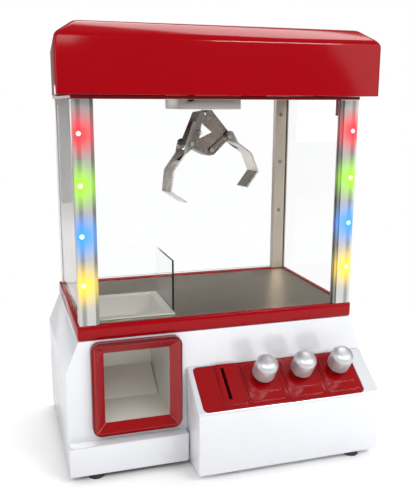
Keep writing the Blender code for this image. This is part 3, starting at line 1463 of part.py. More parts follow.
def make_x_drive(stuff, carriage):
    """The motor on the carriage and its pinion, which climbs along the bridge's rack."""
    near, far = X_RACK_Y
    pivot = empty("x_pinion_axis", carriage, (CARRIAGE_X, 0, X_PINION_Z))
    pinion = slab("x_pinion", pinion_outline(), near + GAP, far - GAP, "Y", stuff["nylon"], pivot)
    bore = cylinder("x_pinion_bore", (0, (near + far) / 2, 0), SHAFT_RADIUS + GAP, 3 * PAST, "Y", sides=10)
    cut(pinion, bore)
    centre = (CARRIAGE_X, near - MOTOR_BACK - MOTOR_LENGTH / 2, X_PINION_Z)
    body = motor("x_motor", centre, "Y", stuff, carriage, far - GAP)
    plate_top = CARRIAGE_TOP + GAP + CARRIAGE_PLATE
    low = (CARRIAGE_X - 5 * MM, centre[1] - MOTOR_LENGTH / 2 + MM, plate_top + GAP)
    rod_front = CARRIAGE_Y + ROD_APART / 2 - ROD_RADIUS
    high = (CARRIAGE_X + 5 * MM, rod_front - 0.7 * MM, X_PINION_Z - 5 * MM)
    return join(body, box("x_motor_saddle", low, high))


def kite(wall=0.0):
    half, corner, foot = CLAW_TOP_HALF, CLAW_CORNER, CLAW_FOOT
    outline = [
        (half, 0),
        (-half, 0),
        (-corner[0], corner[1]),
        (-foot[0], foot[1]),
        (foot[0], foot[1]),
        (corner[0], corner[1]),
    ]
    return inset(outline, wall) if wall else outline


def cheek_outline(side, eared):
    """A claw arm's cheek round its pin. One cheek of each arm reaches up along the tray as an ear."""
    foot = [(0.5 * MM, -4.2 * MM), (6.6 * MM, -7.4 * MM), (8.2 * MM, -6.0 * MM), (4.6 * MM, 3.2 * MM)]
    if eared:
        top = [(-4.4 * MM, 18.6 * MM), (-8.6 * MM, 18.2 * MM), (-3.4 * MM, 0)]
    else:
        top = [(2.0 * MM, 4.6 * MM), (-2.2 * MM, 3.6 * MM), (-3.4 * MM, -0.4 * MM)]
    outline = [(side * x, z) for x, z in foot + top]
    return outline if side > 0 else outline[::-1]


def make_claw(stuff, claw):
    """A kite-shaped tray with a window, and two bent arms whose cheeks turn on pins at its corners."""
    half = CLAW_DEPTH / 2
    tray = slab("claw_body", kite(), -half, half, "Y", stuff["steel"], claw)
    plate = -half + PLATE_SUNK + CLAW_WALL
    hollow = slab("claw_hollow", kite(CLAW_WALL), plate, half + MM, "Y")
    face = slab("claw_face", kite(CLAW_WALL * 0.7), -half - MM, -half + PLATE_SUNK, "Y")
    triangle = [(-5.0 * MM, -9.5 * MM), (-9.6 * MM, -22.5 * MM), (4.2 * MM, -19.2 * MM)]
    window = slab("claw_window", triangle, -2 * PAST, 0, "Y")
    ears = box("claw_ear_gap", (-1.1 * MM, -half - MM, -3.2 * MM), (1.1 * MM, plate + 0.6 * MM, MM))
    cut(tray, hollow, face, window, ears)
    boss = cylinder("claw_boss", (1.0 * MM, -half + 0.6 * MM, -34.0 * MM), 2.6 * MM, 3.0 * MM, "Y", sides=16)
    link = slab(
        "claw_link",
        strip(((17.5 * MM, -25.6 * MM), (1.0 * MM, -34.0 * MM)), 4.6 * MM),
        -half - 0.5 * MM,
        -half + PLATE_SUNK + 0.6 * MM,
        "Y",
    )
    join(tray, link, boss)
    for word, side in (("left", -1), ("right", 1)):
        px, pz = side * PIVOT[0], PIVOT[1]
        hole = cylinder(f"pin_hole_{word}", (px, 0, pz), PIN_RADIUS + GAP, CLAW_DEPTH + 4 * MM, "Y", sides=12)
        cut(tray, hole)
        at, length = (px, 0, pz), 2 * ARM_HALF + PIN_HEAD
        pin = cylinder(f"claw_pin_{word}", at, PIN_RADIUS, length, "Y", stuff["steel"], claw, sides=12)
        for end in (-1, 1):
            middle = (px, end * (ARM_HALF + GAP + PIN_HEAD / 2), pz)
            join(pin, cylinder(f"pin_head_{word}_{end}", middle, PIN_RADIUS + MM, PIN_HEAD, "Y", sides=12))
        pivot = empty(f"claw_arm_{word}_pivot", claw, (px, 0, pz))
        points = [(side * (a - PIVOT[0]), b - PIVOT[1]) for a, b in (PIVOT, *ARM_BENDS)]
        points[0] = (points[1][0] * 0.24, points[1][1] * 0.24)
        outline = strip(points, ARM_THICK)
        arm = slab(f"claw_arm_{word}", outline, -ARM_HALF, ARM_HALF, "Y", stuff["steel"], pivot)
        for face_side in (-1, 1):
            eared = face_side == side
            low, high = sorted((face_side * (ARM_HALF - 0.1 * MM), face_side * (ARM_HALF - CHEEK_SKIN)))
            join(arm, slab(f"cheek_{word}_{face_side}", cheek_outline(side, eared), low, high, "Y"))
        bore = cylinder(f"cheek_hole_{word}", (0, 0, 0), PIN_RADIUS + GAP, 3 * ARM_HALF, "Y", sides=12)
        cut(arm, bore)


def main():
    clear_scene()
    stuff = materials()
    root = empty("machine", None, (0, FRONT, 0))
    slope = slope_frame(root)
    make_base_shell(stuff, root)
    make_bottom_plate(stuff, root)
    make_feet(stuff, root)
    make_ledge(stuff, root)
    make_floor(stuff, root)
    make_chute(stuff, root)
    make_guard(stuff, root)
    make_bezel(stuff, root)
    for word, side in (("left", -1), ("right", 1)):
        make_front_post(stuff, root, word, side)
        make_led_strip(stuff, root, word, side)
    make_rear_posts(stuff, root)
    make_panes(stuff, root)
    make_rear_door(stuff, root)
    make_top_frame(stuff, root)
    make_hood(stuff, root)
    make_control_box(stuff, root, slope)
    make_panel(stuff, slope)
    make_levers(stuff, slope)
    make_lever_frame(stuff, slope)
    make_switch_board(stuff, slope)
    make_coin_works(stuff, slope)
    make_electrics(stuff, root)
    make_rails(stuff, root)
    bridge = empty("bridge", root)
    carriage = empty("carriage", bridge)
    claw = empty("claw_frame", carriage, (CARRIAGE_X, CARRIAGE_Y, CLAW_TOP), (0, -CLAW_LEAN, CLAW_TURN))
    make_bridge(stuff, bridge)
    make_y_drive(stuff, bridge)
    make_carriage(stuff, carriage)
    make_hoist(stuff, carriage)
    make_x_drive(stuff, carriage)
    make_claw(stuff, claw)


main()
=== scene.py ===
import json
import math

import bmesh
import bpy
import numpy as np
from mathutils import Matrix, Vector

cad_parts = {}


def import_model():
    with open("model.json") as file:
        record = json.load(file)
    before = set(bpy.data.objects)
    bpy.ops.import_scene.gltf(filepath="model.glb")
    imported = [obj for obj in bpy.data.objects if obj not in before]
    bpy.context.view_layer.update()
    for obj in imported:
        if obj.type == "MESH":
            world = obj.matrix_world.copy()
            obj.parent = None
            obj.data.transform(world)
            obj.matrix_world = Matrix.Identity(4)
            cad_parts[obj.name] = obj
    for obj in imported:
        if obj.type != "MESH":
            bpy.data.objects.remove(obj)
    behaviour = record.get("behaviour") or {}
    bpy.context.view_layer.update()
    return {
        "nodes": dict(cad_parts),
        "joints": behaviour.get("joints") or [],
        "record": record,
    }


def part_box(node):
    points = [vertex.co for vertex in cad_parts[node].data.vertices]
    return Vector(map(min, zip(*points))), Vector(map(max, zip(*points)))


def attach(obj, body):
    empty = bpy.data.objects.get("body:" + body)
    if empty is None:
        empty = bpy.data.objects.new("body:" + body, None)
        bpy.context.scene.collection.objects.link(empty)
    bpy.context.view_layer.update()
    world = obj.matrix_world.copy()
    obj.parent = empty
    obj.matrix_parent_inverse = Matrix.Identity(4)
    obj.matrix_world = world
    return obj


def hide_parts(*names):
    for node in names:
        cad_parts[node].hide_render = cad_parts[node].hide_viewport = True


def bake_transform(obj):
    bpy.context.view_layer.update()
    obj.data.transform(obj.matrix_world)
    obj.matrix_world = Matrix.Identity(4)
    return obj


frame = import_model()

MM = 0.001
NODES = frame["nodes"]
JOINTS = {joint["name"]: joint for joint in frame["joints"]}

# Places read from the frame
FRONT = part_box("ledge_frame")[0].y  # the ledge's front plane
STRIP_LOW, STRIP_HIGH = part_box("led_strip_right")
POST_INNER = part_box("post_front_right")[0].x  # from the middle to a front post's inner edge
ACROSS = Vector((1, 0, 0))
UP_SLOPE = Vector(JOINTS["lever_1_tilt"]["axis"]).normalized()
OUT_OF_SLOPE = ACROSS.cross(UP_SLOPE)

# The lamps, four up each front post
LAMP_COUNT = 4
LAMP_MARGIN = 14 * MM  # from a strip's end to its first lamp
LAMP_LOW = STRIP_LOW.z + LAMP_MARGIN
LAMP_PITCH = (STRIP_HIGH.z - STRIP_LOW.z - 2 * LAMP_MARGIN) / (LAMP_COUNT - 1)
LAMP_X = STRIP_HIGH.x - 2.5 * MM  # from the middle to either row
LAMP_SINK = 1.0 * MM  # how far a lens's middle lies behind the ledge's front plane
LAMP_RADIUS = 2.2 * MM
LAMP_COLOURS = (  # from the lowest lamp up
    (0.95, 0.66, 0.04),
    (0.04, 0.33, 0.95),
    (0.4, 0.88, 0.04),
    (0.95, 0.04, 0.06),
)

# The front posts' painted shade: each pair is where a dark band begins to fade and where it ends
GROOVE_SHADE = (0.6 * MM, 2.6 * MM)  # either side of the row of lamps: painted shade, as in a groove
LIP_SHADE = (2.5 * MM, 3.0 * MM)  # from the post's inner edge: painted shade on its lip

# The knobs
KNOB_FOOT = 1.8 * MM  # the radius round a knob's foot
KNOB_DOME = 6.0 * MM  # how high its dome is
KNOB_FULLNESS = 0.8  # under 1, the dome is fuller than an ellipse
KNOB_BORE = 2.7 * MM  # the radius of the hole for the lever's stem
KNOB_BORE_DEPTH = 4.0 * MM

# The screws that show
SCREW_SIZE = {"Radius": 2.1 * MM, "Height": 0.8 * MM}
POST_SCREW_INSET = 5.3 * MM  # from the right rear post's inner edge
POST_SCREW_HEIGHTS = (190 * MM, 240 * MM, 287 * MM)
PLATE_SCREW_SIDE = 9 * MM  # from the bottom plate's sides
PLATE_SCREW_FRONT = 8 * MM  # from the ledge's front plane
PLATE_SCREW_BACK = 3 * MM  # from the bottom plate's back edge
DOOR_SCREW_INSET = 5 * MM  # from the battery door's front edge

# The claw, in its own frame
CLAW_RIM = 25.2 * MM  # from the arms' hinges up to the tray's top edge
CLAW_FRONT = -6.5 * MM  # the tray's front plane
RIVET_SINK = 1.2 * MM  # how far a rivet goes in behind its head
RIVETS = {  # its place, its radius and how far its head bulges
    "claw_link_rivet": ((1.0 * MM, CLAW_FRONT - 0.9 * MM, -34.0 * MM), 1.7 * MM, 0.7 * MM),
    "claw_upper_rivet": ((16.2 * MM, CLAW_FRONT - 0.5 * MM, -26.2 * MM), 1.2 * MM, 0.4 * MM),
}
SPRING_PLACE = (-9.2 * MM, CLAW_FRONT + 0.9 * MM, -17.0 * MM)
SPRING_SIZE = {"Turns": 1.6, "Radius": 2.3 * MM, "Height": 0.9 * MM, "Wire": 0.36 * MM}

# The hoist's cord
CORD_STRANDS = 3
CORD_TURNS = 3.5  # of each strand, from end to end
CORD_STRAND = 0.25 * MM  # a strand's radius
CORD_TWIST = 0.24 * MM  # from the cord's middle to a strand's
CORD_RINGS, CORD_SIDES = 60, 8

# Rounded edges, wider on these shells
SHARP = math.radians(35)
EDGE = 0.3 * MM
WIDE_EDGE = 0.4 * MM
WIDE_EDGED = {"control_panel", "control_box", "prize_bezel", "hood_shell", "ledge_frame"}

# The stage
FLOOR_SIZE = 3.0
FLOOR_FADE = (0.22, 0.5)  # where the floor begins and ends its fade into the backdrop
WORLD_LIT = 0.58  # the world's strength for what it lights
WORLD_SHINE = 0.2  # and for what it shines on
LIGHTS = {  # place, target, width, height and watts
    "key": ((-0.7, -1.4, 1.3), (0, 0, 0.15), 0.8, 0.8, 12),
    "strip": ((0.66, -1.15, 1.08), (0.05, -0.1, 0.1), 0.75, 0.14, 9),
    "kicker": ((-0.42, 1.15, 0.268), (0, 0, 0.27), 0.3, 0.15, 0.45),
    "side": ((-1.5, -0.1, 0.6), (0, 0, 0.2), 1.0, 1.2, 6),
    "fill": ((1.3, -0.9, 0.7), (0, 0, 0.18), 0.7, 1.2, 4),
    "top": ((0.35, 0.44, 1.5), (0, 0, 0.2), 1.2, 0.55, 12),
}
CAMERA_PLACE = (-0.1745, FRONT - 0.5089, 0.29965)
CAMERA_TURN, CAMERA_DOWN, CAMERA_ROLL = -17.37, 12.3, 0.24  # degrees
LENS, SENSOR = 49.04, 36.0  # millimetres, as a camera's are


def add_object(name, data):
    """A new object in the scene."""
    made = bpy.data.objects.new(name, data)
    bpy.context.scene.collection.objects.link(made)
    return made


# ---------------------------------------------------------------- node trees


class Tree:
    """Builds one node tree: a call makes a node, sets its fields, and sets or links its inputs."""

    def __init__(self, tree):
        self.tree = tree

    def __call__(self, kind, ins=None, **fields):
        node = self.tree.nodes.new(kind)
        for key, value in fields.items():
            setattr(node, key, value)
        for key, value in (ins or {}).items():
            self.feed(node.inputs[key], value)
        return node

    def feed(self, socket, value):
        if isinstance(value, bpy.types.NodeSocket):
            self.tree.links.new(value, socket)
        else:
            socket.default_value = value

    def math(self, operation, *values):
        return self("ShaderNodeMath", dict(enumerate(values)), operation=operation).outputs[0]

    def vector(self, operation, a, b=(0, 0, 0)):
        return self("ShaderNodeVectorMath", {0: a, 1: b}, operation=operation)

    def mix(self, factor, a, b):
        return self("ShaderNodeMix", {0: factor, 6: a, 7: b}, data_type="RGBA").outputs[2]

    def spread(self, value, low, high, to_low=0.0, to_high=1.0, kind="LINEAR"):
        ins = {
            "Value": value,
            "From Min": low,
            "From Max": high,
            "To Min": to_low,
            "To Max": to_high,
        }
        return self("ShaderNodeMapRange", ins, interpolation_type=kind).outputs[0]

    def noise(self, place, scale, detail):
        ins = {"Vector": place, "Scale": scale, "Detail": detail}
        return self("ShaderNodeTexNoise", ins).outputs[0]

    def combine(self, **parts):
        return self("ShaderNodeCombineXYZ", parts).outputs[0]

    def separate(self, vector):
        return self("ShaderNodeSeparateXYZ", {0: vector}).outputs

    def place(self):
        return self("ShaderNodeTexCoord").outputs["Object"]

    def normal(self):
        return self("ShaderNodeNewGeometry").outputs["Normal"]

    def group(self, made, **ins):
        named = {key.replace("_", " "): value for key, value in ins.items()}
        return self("ShaderNodeGroup", named, node_tree=made)


def new_group(name, inputs, outputs):
    """A new group of shader nodes: its float inputs have defaults, and its outputs have types."""
    made = bpy.data.node_groups.new(name, "ShaderNodeTree")
    for label, default in inputs.items():
        socket = made.interface.new_socket(label, in_out="INPUT", socket_type="NodeSocketFloat")
        socket.default_value = default
    for label, socket_type in outputs.items():
        made.interface.new_socket(label, in_out="OUTPUT", socket_type=socket_type)
    tree = Tree(made)
    return made, tree, tree("NodeGroupInput").outputs, tree("NodeGroupOutput").inputs


# ---------------------------------------------------------------- effects that materials share


def make_grain():
    """Fine moulded grain over slow waviness, as a normal."""
    inputs = {"Size mm": 0.6, "Strength": 0.1, "Wave": 0.05}
    made, t, into, out = new_group("grain", inputs, {"Normal": "NodeSocketVector"})
    place = t.place()
    fine = t.noise(place, t.math("DIVIDE", 1000.0, into["Size mm"]), 2.0)
    slow = t.noise(place, 24.0, 1.0)
    ins = {"Strength": into["Wave"], "Distance": 0.002, "Height": slow}
    wavy = t("ShaderNodeBump", ins).outputs[0]
    ins = {"Strength": into["Strength"], "Distance": 0.0001, "Height": fine, "Normal": wavy}
    t.feed(out["Normal"], t("ShaderNodeBump", ins).outputs[0])
    return made


def make_handling():
    """How touched a place is, from 0 to 1: broad smears, with scuffs and a few hairlines."""
    made, t, into, out = new_group("handling", {"Scale": 30.0}, {"Mask": "NodeSocketFloat"})
    place = t.place()
    broad = t.noise(place, into["Scale"], 3.0)
    fine = t.noise(place, 700.0, 3.0)
    hair = t.noise(t.vector("MULTIPLY", place, (1.0, 1.0, 0.05)).outputs[0], 900.0, 1.0)
    mask = t.spread(t.math("MULTIPLY", broad, fine), 0.14, 0.42)
    lines = t.spread(hair, 0.72, 0.76, 0.0, 0.5)
    t.feed(out["Mask"], t.math("MAXIMUM", mask, lines))
    return made


def make_brushed():
    """Fine parallel lines along the axis whose stretch is small: a mask and a normal."""
    inputs = {"X": 1.0, "Y": 1.0, "Z": 1.0, "Strength": 0.2}
    outputs = {"Lines": "NodeSocketFloat", "Normal": "NodeSocketVector"}
    made, t, into, out = new_group("brushed", inputs, outputs)
    stretch = t.combine(X=into["X"], Y=into["Y"], Z=into["Z"])
    lines = t.noise(t.vector("MULTIPLY", t.place(), stretch).outputs[0], 1000.0, 3.0)
    t.feed(out["Lines"], lines)
    ins = {"Strength": into["Strength"], "Distance": 0.00005, "Height": lines}
    t.feed(out["Normal"], t("ShaderNodeBump", ins).outputs[0])
    return made


def make_dust():
    """Settled dust: it lies on faces that look up, in a broken cloud."""
    made, t, into, out = new_group("dust", {"Amount": 0.1}, {"Mask": "NodeSocketFloat"})
    up = t.separate(t.normal())["Z"]
    cloud = t.noise(t.place(), 60.0, 5.0)
    lying = t.math("MULTIPLY", t.spread(up, 0.6, 1.0), t.spread(cloud, 0.35, 0.75))
    t.feed(out["Mask"], t.math("MULTIPLY", lying, into["Amount"]))
    return made


def make_nearest_lamp():
    """The colour of the nearest lamp, by height, and a soft halo of painted glow round it on the
    post's face.
    """
    outputs = {"Colour": "NodeSocketColor", "Halo": "NodeSocketFloat"}
    made, t, into, out = new_group("nearest_lamp", {"Reach mm": 14.0}, outputs)
    place = t.separate(t.place())
    steps = t.math("DIVIDE", t.math("SUBTRACT", place["Z"], LAMP_LOW), LAMP_PITCH)
    nearest = t.math("MINIMUM", t.math("ROUND", steps), LAMP_COUNT - 1.0)
    nearest = t.math("MAXIMUM", nearest, 0.0)
    away = t.combine(
        X=t.math("SUBTRACT", t.math("ABSOLUTE", place["X"]), LAMP_X),
        Y=t.math("SUBTRACT", place["Y"], FRONT),
        Z=t.math("MULTIPLY", t.math("SUBTRACT", steps, nearest), LAMP_PITCH),
    )
    reach = t.math("DIVIDE", into["Reach mm"], 1000.0)
    near = t.math("DIVIDE", t.vector("LENGTH", away).outputs["Value"], reach)
    falling = t.spread(near, 0.0, 1.0, 1.0, 0.0, "SMOOTHSTEP")
    t.feed(out["Halo"], t.math("POWER", falling, 1.3))
    band = t.math("MULTIPLY_ADD", nearest, 1 / LAMP_COUNT, 0.5 / LAMP_COUNT)
    ramp = t("ShaderNodeValToRGB", {0: band})
    ramp.color_ramp.interpolation = "CONSTANT"
    elements = ramp.color_ramp.elements
    for k, colour in enumerate(LAMP_COLOURS):
        element = elements[k] if k < 2 else elements.new(k / LAMP_COUNT)
        element.position = k / LAMP_COUNT
        element.color = (*colour, 1)
    t.feed(out["Colour"], ramp.outputs[0])
    return made


GRAIN = make_grain()
HANDLING = make_handling()
BRUSHED = make_brushed()
DUST = make_dust()
NEAREST_LAMP = make_nearest_lamp()


# ---------------------------------------------------------------- materials


DUST_COLOUR = (0.5, 0.48, 0.45, 1)
# the dark of the painted shade on the front posts
PAINTED_SHADE_COLOUR = (0.16, 0.155, 0.15, 1)
# the dark of the painted shade on the claw arms
ARM_SHADE_COLOUR = (0.13, 0.105, 0.09, 1)
UP_POST = (1.0, 1.0, 0.03)  # how far a metal's lines are stretched along each axis
UP_CLAW = (1.0, 1.0, 0.04)
ACROSS_FLOOR = (0.02, 1.0, 1.0)
ACROSS_TRAY = (0.05, 1.0, 1.0)


def principled(made):
    """A material's Principled shader."""
    return made.node_tree.nodes["Principled BSDF"]


def surface(made):
    """The socket that a material's finished shader goes into."""
    return made.node_tree.nodes["Material Output"].inputs["Surface"]


def material(name, **plain):
    """A new material, with plain values on its Principled sockets."""
    made = bpy.data.materials.new(name)
    made.use_nodes = True
    shader = principled(made).inputs
    for key, value in plain.items():
        shader[key.replace("_", " ")].default_value = value
    return made, Tree(made.node_tree), shader


def plastic(
    name, colour, dull, rough, grain=0.08, wave=0.03, size=0.6, dust=0.05, spread=0.08, **plain
):
    """A moulded or painted surface: handling shifts its colour and gloss, and dust settles."""
    made, t, shader = material(name, **plain)
    touch = t.group(HANDLING, Scale=26.0).outputs[0]
    settled = t.group(DUST, Amount=dust).outputs[0]
    paint = t.mix(touch, (*colour, 1), (*dull, 1))
    t.feed(shader["Base Color"], t.mix(settled, paint, DUST_COLOUR))
    gloss = t.math("MULTIPLY_ADD", touch, spread, rough)
    t.feed(shader["Roughness"], t.math("MULTIPLY_ADD", settled, 0.8, gloss))
    t.feed(shader["Normal"], t.group(GRAIN, Size_mm=size, Strength=grain, Wave=wave).outputs[0])
    return made


def metal(name, colour, rough, lines=(1.0, 1.0, 1.0), strength=0.15, dark=0.8, **plain):
    """A brushed or satin metal: its lines change both its colour and its gloss."""
    made, t, shader = material(name, **plain)
    brush = t.group(BRUSHED, X=lines[0], Y=lines[1], Z=lines[2], Strength=strength).outputs
    touch = t.group(HANDLING, Scale=40.0).outputs[0]
    shade = tuple(c * dark for c in colour)
    t.feed(shader["Base Color"], t.mix(brush["Lines"], (*shade, 1), (*colour, 1)))
    lined = t.math("MULTIPLY_ADD", brush["Lines"], 0.06, rough)
    t.feed(shader["Roughness"], t.math("MULTIPLY_ADD", touch, 0.1, lined))
    t.feed(shader["Normal"], brush["Normal"])
    return made


def clear_sheet():
    """Clear acrylic: shadow and diffuse rays pass it, so the cab is lit as a real one is."""
    made, t, shader = material("clear_acrylic", IOR=1.1, Transmission_Weight=1.0)
    t.feed(shader["Base Color"], (0.995, 0.998, 1.0, 1))
    touch = t.group(HANDLING, Scale=18.0).outputs[0]
    t.feed(shader["Roughness"], t.math("MULTIPLY", touch, 0.02))
    through = t("ShaderNodeBsdfTransparent", {"Color": (0.99, 0.995, 1.0, 1)}).outputs[0]
    path = t("ShaderNodeLightPath").outputs
    passing = t.math("MAXIMUM", path["Is Shadow Ray"], path["Is Diffuse Ray"])
    ins = {0: passing, 1: principled(made).outputs[0], 2: through}
    t.feed(surface(made), t("ShaderNodeMixShader", ins).outputs[0])
    return made


def lamp_lens():
    """A lit lamp: pale at its heart and in its colour round it."""
    made, t, shader = material("lamp_lens", Roughness=0.15, Emission_Strength=1.6)
    colour = t.group(NEAREST_LAMP).outputs["Colour"]
    t.feed(shader["Base Color"], colour)
    facing = t("ShaderNodeLayerWeight", {"Blend": 0.35}).outputs["Facing"]
    rim = t.spread(facing, 0.0, 0.7, 0.15, 1.0)
    t.feed(shader["Emission Color"], t.mix(rim, (1, 1, 1, 1), colour))
    return made


def lit_post():
    """The front posts' satin silver, with painted shade along the row of lamps and on the inner
    lip, and lit halos of painted glow.
    """
    colour = (0.7, 0.69, 0.67)
    made = metal("lit_post", colour, 0.3, UP_POST, strength=0.12, dark=0.9, Metallic=0.85)
    shader = principled(made).inputs
    shader["Emission Strength"].default_value = 0.6
    t = Tree(made.node_tree)
    # Painted glow: near each lamp its colour goes into the post's emission and into the post's own
    # colour
    lamp = t.group(NEAREST_LAMP, Reach_mm=25.0).outputs
    tint = t.vector("SCALE", lamp["Colour"])
    forward = t.spread(t.separate(t.normal())["Y"], 0.0, -0.7, 0.25, 1.0)
    halo = t.math("MULTIPLY", lamp["Halo"], forward)
    t.feed(tint.inputs["Scale"], halo)
    t.feed(shader["Emission Color"], tint.outputs[0])
    across = t.math("ABSOLUTE", t.separate(t.place())["X"])
    from_row = t.math("ABSOLUTE", t.math("SUBTRACT", across, LAMP_X))
    # Painted shade: a dark band along each row of lamps, as in a groove, and one on the post's
    # inner lip
    groove_shade = t.spread(from_row, *GROOVE_SHADE, 0.6, 0.0, "SMOOTHSTEP")
    lip_shade = t.spread(across, POST_INNER + LIP_SHADE[0], POST_INNER + LIP_SHADE[1], 0.75, 0.0)
    silver = shader["Base Color"].links[0].from_socket
    shaded_silver = t.mix(t.math("MAXIMUM", groove_shade, lip_shade), silver, PAINTED_SHADE_COLOUR)
    t.feed(shader["Base Color"], t.mix(t.math("MULTIPLY", halo, 0.9), shaded_silver, lamp["Colour"]))
    return made


def arm_steel():
    """The claw arms' steel: painted shade where they lie in the tray, lightening to a painted
    reflection at their tips.
    """
    colour = (0.85, 0.81, 0.74)
    made = metal("arm_steel", colour, 0.22, UP_CLAW, strength=0.2, dark=0.85, Metallic=1.0)
    t = Tree(made.node_tree)
    base = principled(made).inputs["Base Color"]
    bright = base.links[0].from_socket
    hinges = [Vector(JOINTS[f"claw_arm_{side}_hinge"]["pos_m"]) for side in ("left", "right")]
    middle = sum(hinges, Vector()) / 2
    away = t.vector("DISTANCE", t.place(), tuple(middle)).outputs["Value"]
    # Painted shade, darkest near the hinges inside the tray and gone towards the bright tips
    painted_shade = t.spread(away, 18 * MM, 34 * MM, 0.85, 0.0, "SMOOTHSTEP")
    t.feed(base, t.mix(painted_shade, bright, ARM_SHADE_COLOUR))
    return made


RED = {"dust": 0.012, "spread": 0.03, "Specular_IOR_Level": 0.22, "Coat_Weight": 0.0}
SHINY_RED = {**RED, "Specular_IOR_Level": 0.6}
# One material for each of the record's slots
M = {
    "base_white": plastic(
        "silver_white",
        (0.73, 0.74, 0.77),
        (0.7, 0.71, 0.74),
        0.16,
        grain=0.02,
        wave=0.01,
        size=0.35,
        Metallic=0.25,
    ),
    "gloss_red": plastic(
        "gloss_red", (0.27, 0.0, 0.003), (0.26, 0.0, 0.003), 0.1, grain=0.01, wave=0.015, **RED
    ),
    "dark_red": plastic("dark_red", (0.2, 0.002, 0.003), (0.18, 0.002, 0.003), 0.3, **RED),
    "floor_sheet": metal(
        "floor_sheet", (0.52, 0.465, 0.37), 0.26, ACROSS_FLOOR, strength=0.3, Metallic=1.0
    ),
    "satin_silver": metal(
        "satin_silver", (0.48, 0.455, 0.415), 0.3, strength=0.05, dark=0.92, Metallic=0.9
    ),
    "clear_sheet": clear_sheet(),
    "lamp_strip": plastic("lamp_board", (0.75, 0.75, 0.73), (0.68, 0.68, 0.66), 0.4),
    "steel": metal("steel", (0.55, 0.54, 0.52), 0.22, strength=0.05, Metallic=1.0),
    "knob_silver": metal(
        "knob_silver", (0.68, 0.68, 0.7), 0.36, strength=0.03, dark=0.95, Metallic=0.8
    ),
    "black_plastic": plastic("black_plastic", (0.012, 0.012, 0.013), (0.03, 0.03, 0.03), 0.35),
    "foot_rubber": plastic(
        "foot_rubber", (0.02, 0.02, 0.02), (0.05, 0.05, 0.05), 0.7, grain=0.3
    ),
    "nylon": plastic("nylon", (0.72, 0.7, 0.65), (0.6, 0.58, 0.52), 0.42),
    "circuit_board": plastic("circuit_board", (0.015, 0.12, 0.04), (0.02, 0.09, 0.03), 0.4),
    "braided_cord": plastic(
        "braided_cord", (0.62, 0.6, 0.56), (0.4, 0.39, 0.36), 0.8, grain=0.6
    ),
    "claw_steel": metal(
        "claw_steel", (0.5, 0.46, 0.41), 0.24, UP_CLAW, strength=0.2, Metallic=1.0
    ),
}
PANEL_RED = plastic(
    "panel_red", (0.26, 0.0, 0.002), (0.25, 0.0, 0.002), 0.08, grain=0.01, wave=0.015, **SHINY_RED
)
LIT_POST = lit_post()
ARM_STEEL = arm_steel()
LAMP_LENS = lamp_lens()
# The rear posts are one metal: the right one's warm beige is a painted reflection of the warm
# prizes inside, and the left one keeps a pale silver
REAR_POST_WARM_REFLECTION = metal(
    "rear_post_painted_reflection", (0.52, 0.46, 0.38), 0.33, UP_POST, strength=0.12, dark=0.9, Metallic=0.9
)
CHUTE_STEEL = metal(
    "chute_steel", (0.7, 0.68, 0.63), 0.36, strength=0.05, dark=0.93, Metallic=0.55
)
TRAY_STEEL = metal(
    "tray_steel", (0.38, 0.325, 0.285), 0.2, ACROSS_TRAY, strength=0.3, dark=0.6, Metallic=1.0
)
REAR_POST_PALE = metal(
    "rear_post_pale", (0.92, 0.91, 0.89), 0.4, UP_POST, strength=0.12, dark=0.95, Metallic=0.6
)
SCREW = metal("screw_steel", (0.3, 0.28, 0.26), 0.3, strength=0.1, Metallic=1.0)
# The nodes whose finish differs from their slot's
OWN = {
    "post_front_left": LIT_POST,
    "post_front_right": LIT_POST,
    "post_rear_left": REAR_POST_PALE,
    "post_rear_right": REAR_POST_WARM_REFLECTION,
    "claw_body": TRAY_STEEL,
    "prize_chute": CHUTE_STEEL,
    "claw_arm_left": ARM_STEEL,
    "claw_arm_right": ARM_STEEL,
    "coin_tube": M["black_plastic"],
    "control_panel": PANEL_RED,
    "prize_bezel": PANEL_RED,
}


def round_edges(shown, wide):
    """Rounds a CAD piece's edges by modifiers alone, which first weld its loose triangles."""
    weld = shown.modifiers.new("weld", "WELD")
    weld.merge_threshold = 1e-6
    edge = shown.modifiers.new("edge", "BEVEL")
    edge.width = WIDE_EDGE if wide else EDGE
    edge.segments = 2
    edge.limit_method = "ANGLE"
    edge.angle_limit = SHARP
    edge.harden_normals = True
    edge.use_clamp_overlap = not wide


def dress_frame():
    """Gives every CAD node its finish, smooth shading and rounded edges."""
    for entry in frame["record"]["subparts"]:
        shown = NODES[entry["node"]]
        shown.data.materials.clear()
        shown.data.materials.append(OWN.get(entry["node"]) or M[entry["material_slot"]])
        if "custom_normal" in shown.data.attributes:
            shown.data.attributes.remove(shown.data.attributes["custom_normal"])
        shown.data.polygons.foreach_set("use_smooth", [True] * len(shown.data.polygons))
        round_edges(shown, entry["node"] in WIDE_EDGED)


dress_frame()


# ---------------------------------------------------------------- making pieces


def keep(name, mesh, body, replaced=None):
    """Puts a finished mesh in the scene, where it rides on a body."""
    made = add_object(name, mesh)
    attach(made, body)
    if replaced:
        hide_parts(replaced)


def axes(origin, out, along):
    """The matrix of a frame whose Z points out, with its X near a given direction."""
    out = Vector(out).normalized()
    side = (along - out * along.dot(out)).normalized()
    turn = Matrix((side, out.cross(side), out)).transposed().to_4x4()
    return Matrix.Translation(origin) @ turn


def arc(centre, radius, start, stop, steps):
    """A profile's round stretch, as (radius, height); its angles are degrees above level."""
    turns = [math.radians(start + (stop - start) * k / steps) for k in range(steps + 1)]
    return [(centre[0] + radius * math.cos(a), centre[1] + radius * math.sin(a)) for a in turns]


def dome(wide, base, tall, steps, fullness=1.0):
    """A profile's domed top, as (radius, height), from just above its rim to its crown."""
    turns = [math.pi / 2 * k / steps for k in range(1, steps)]
    points = [(wide * math.cos(a) ** fullness, base + tall * math.sin(a)) for a in turns]
    return [*points, (0, base + tall)]


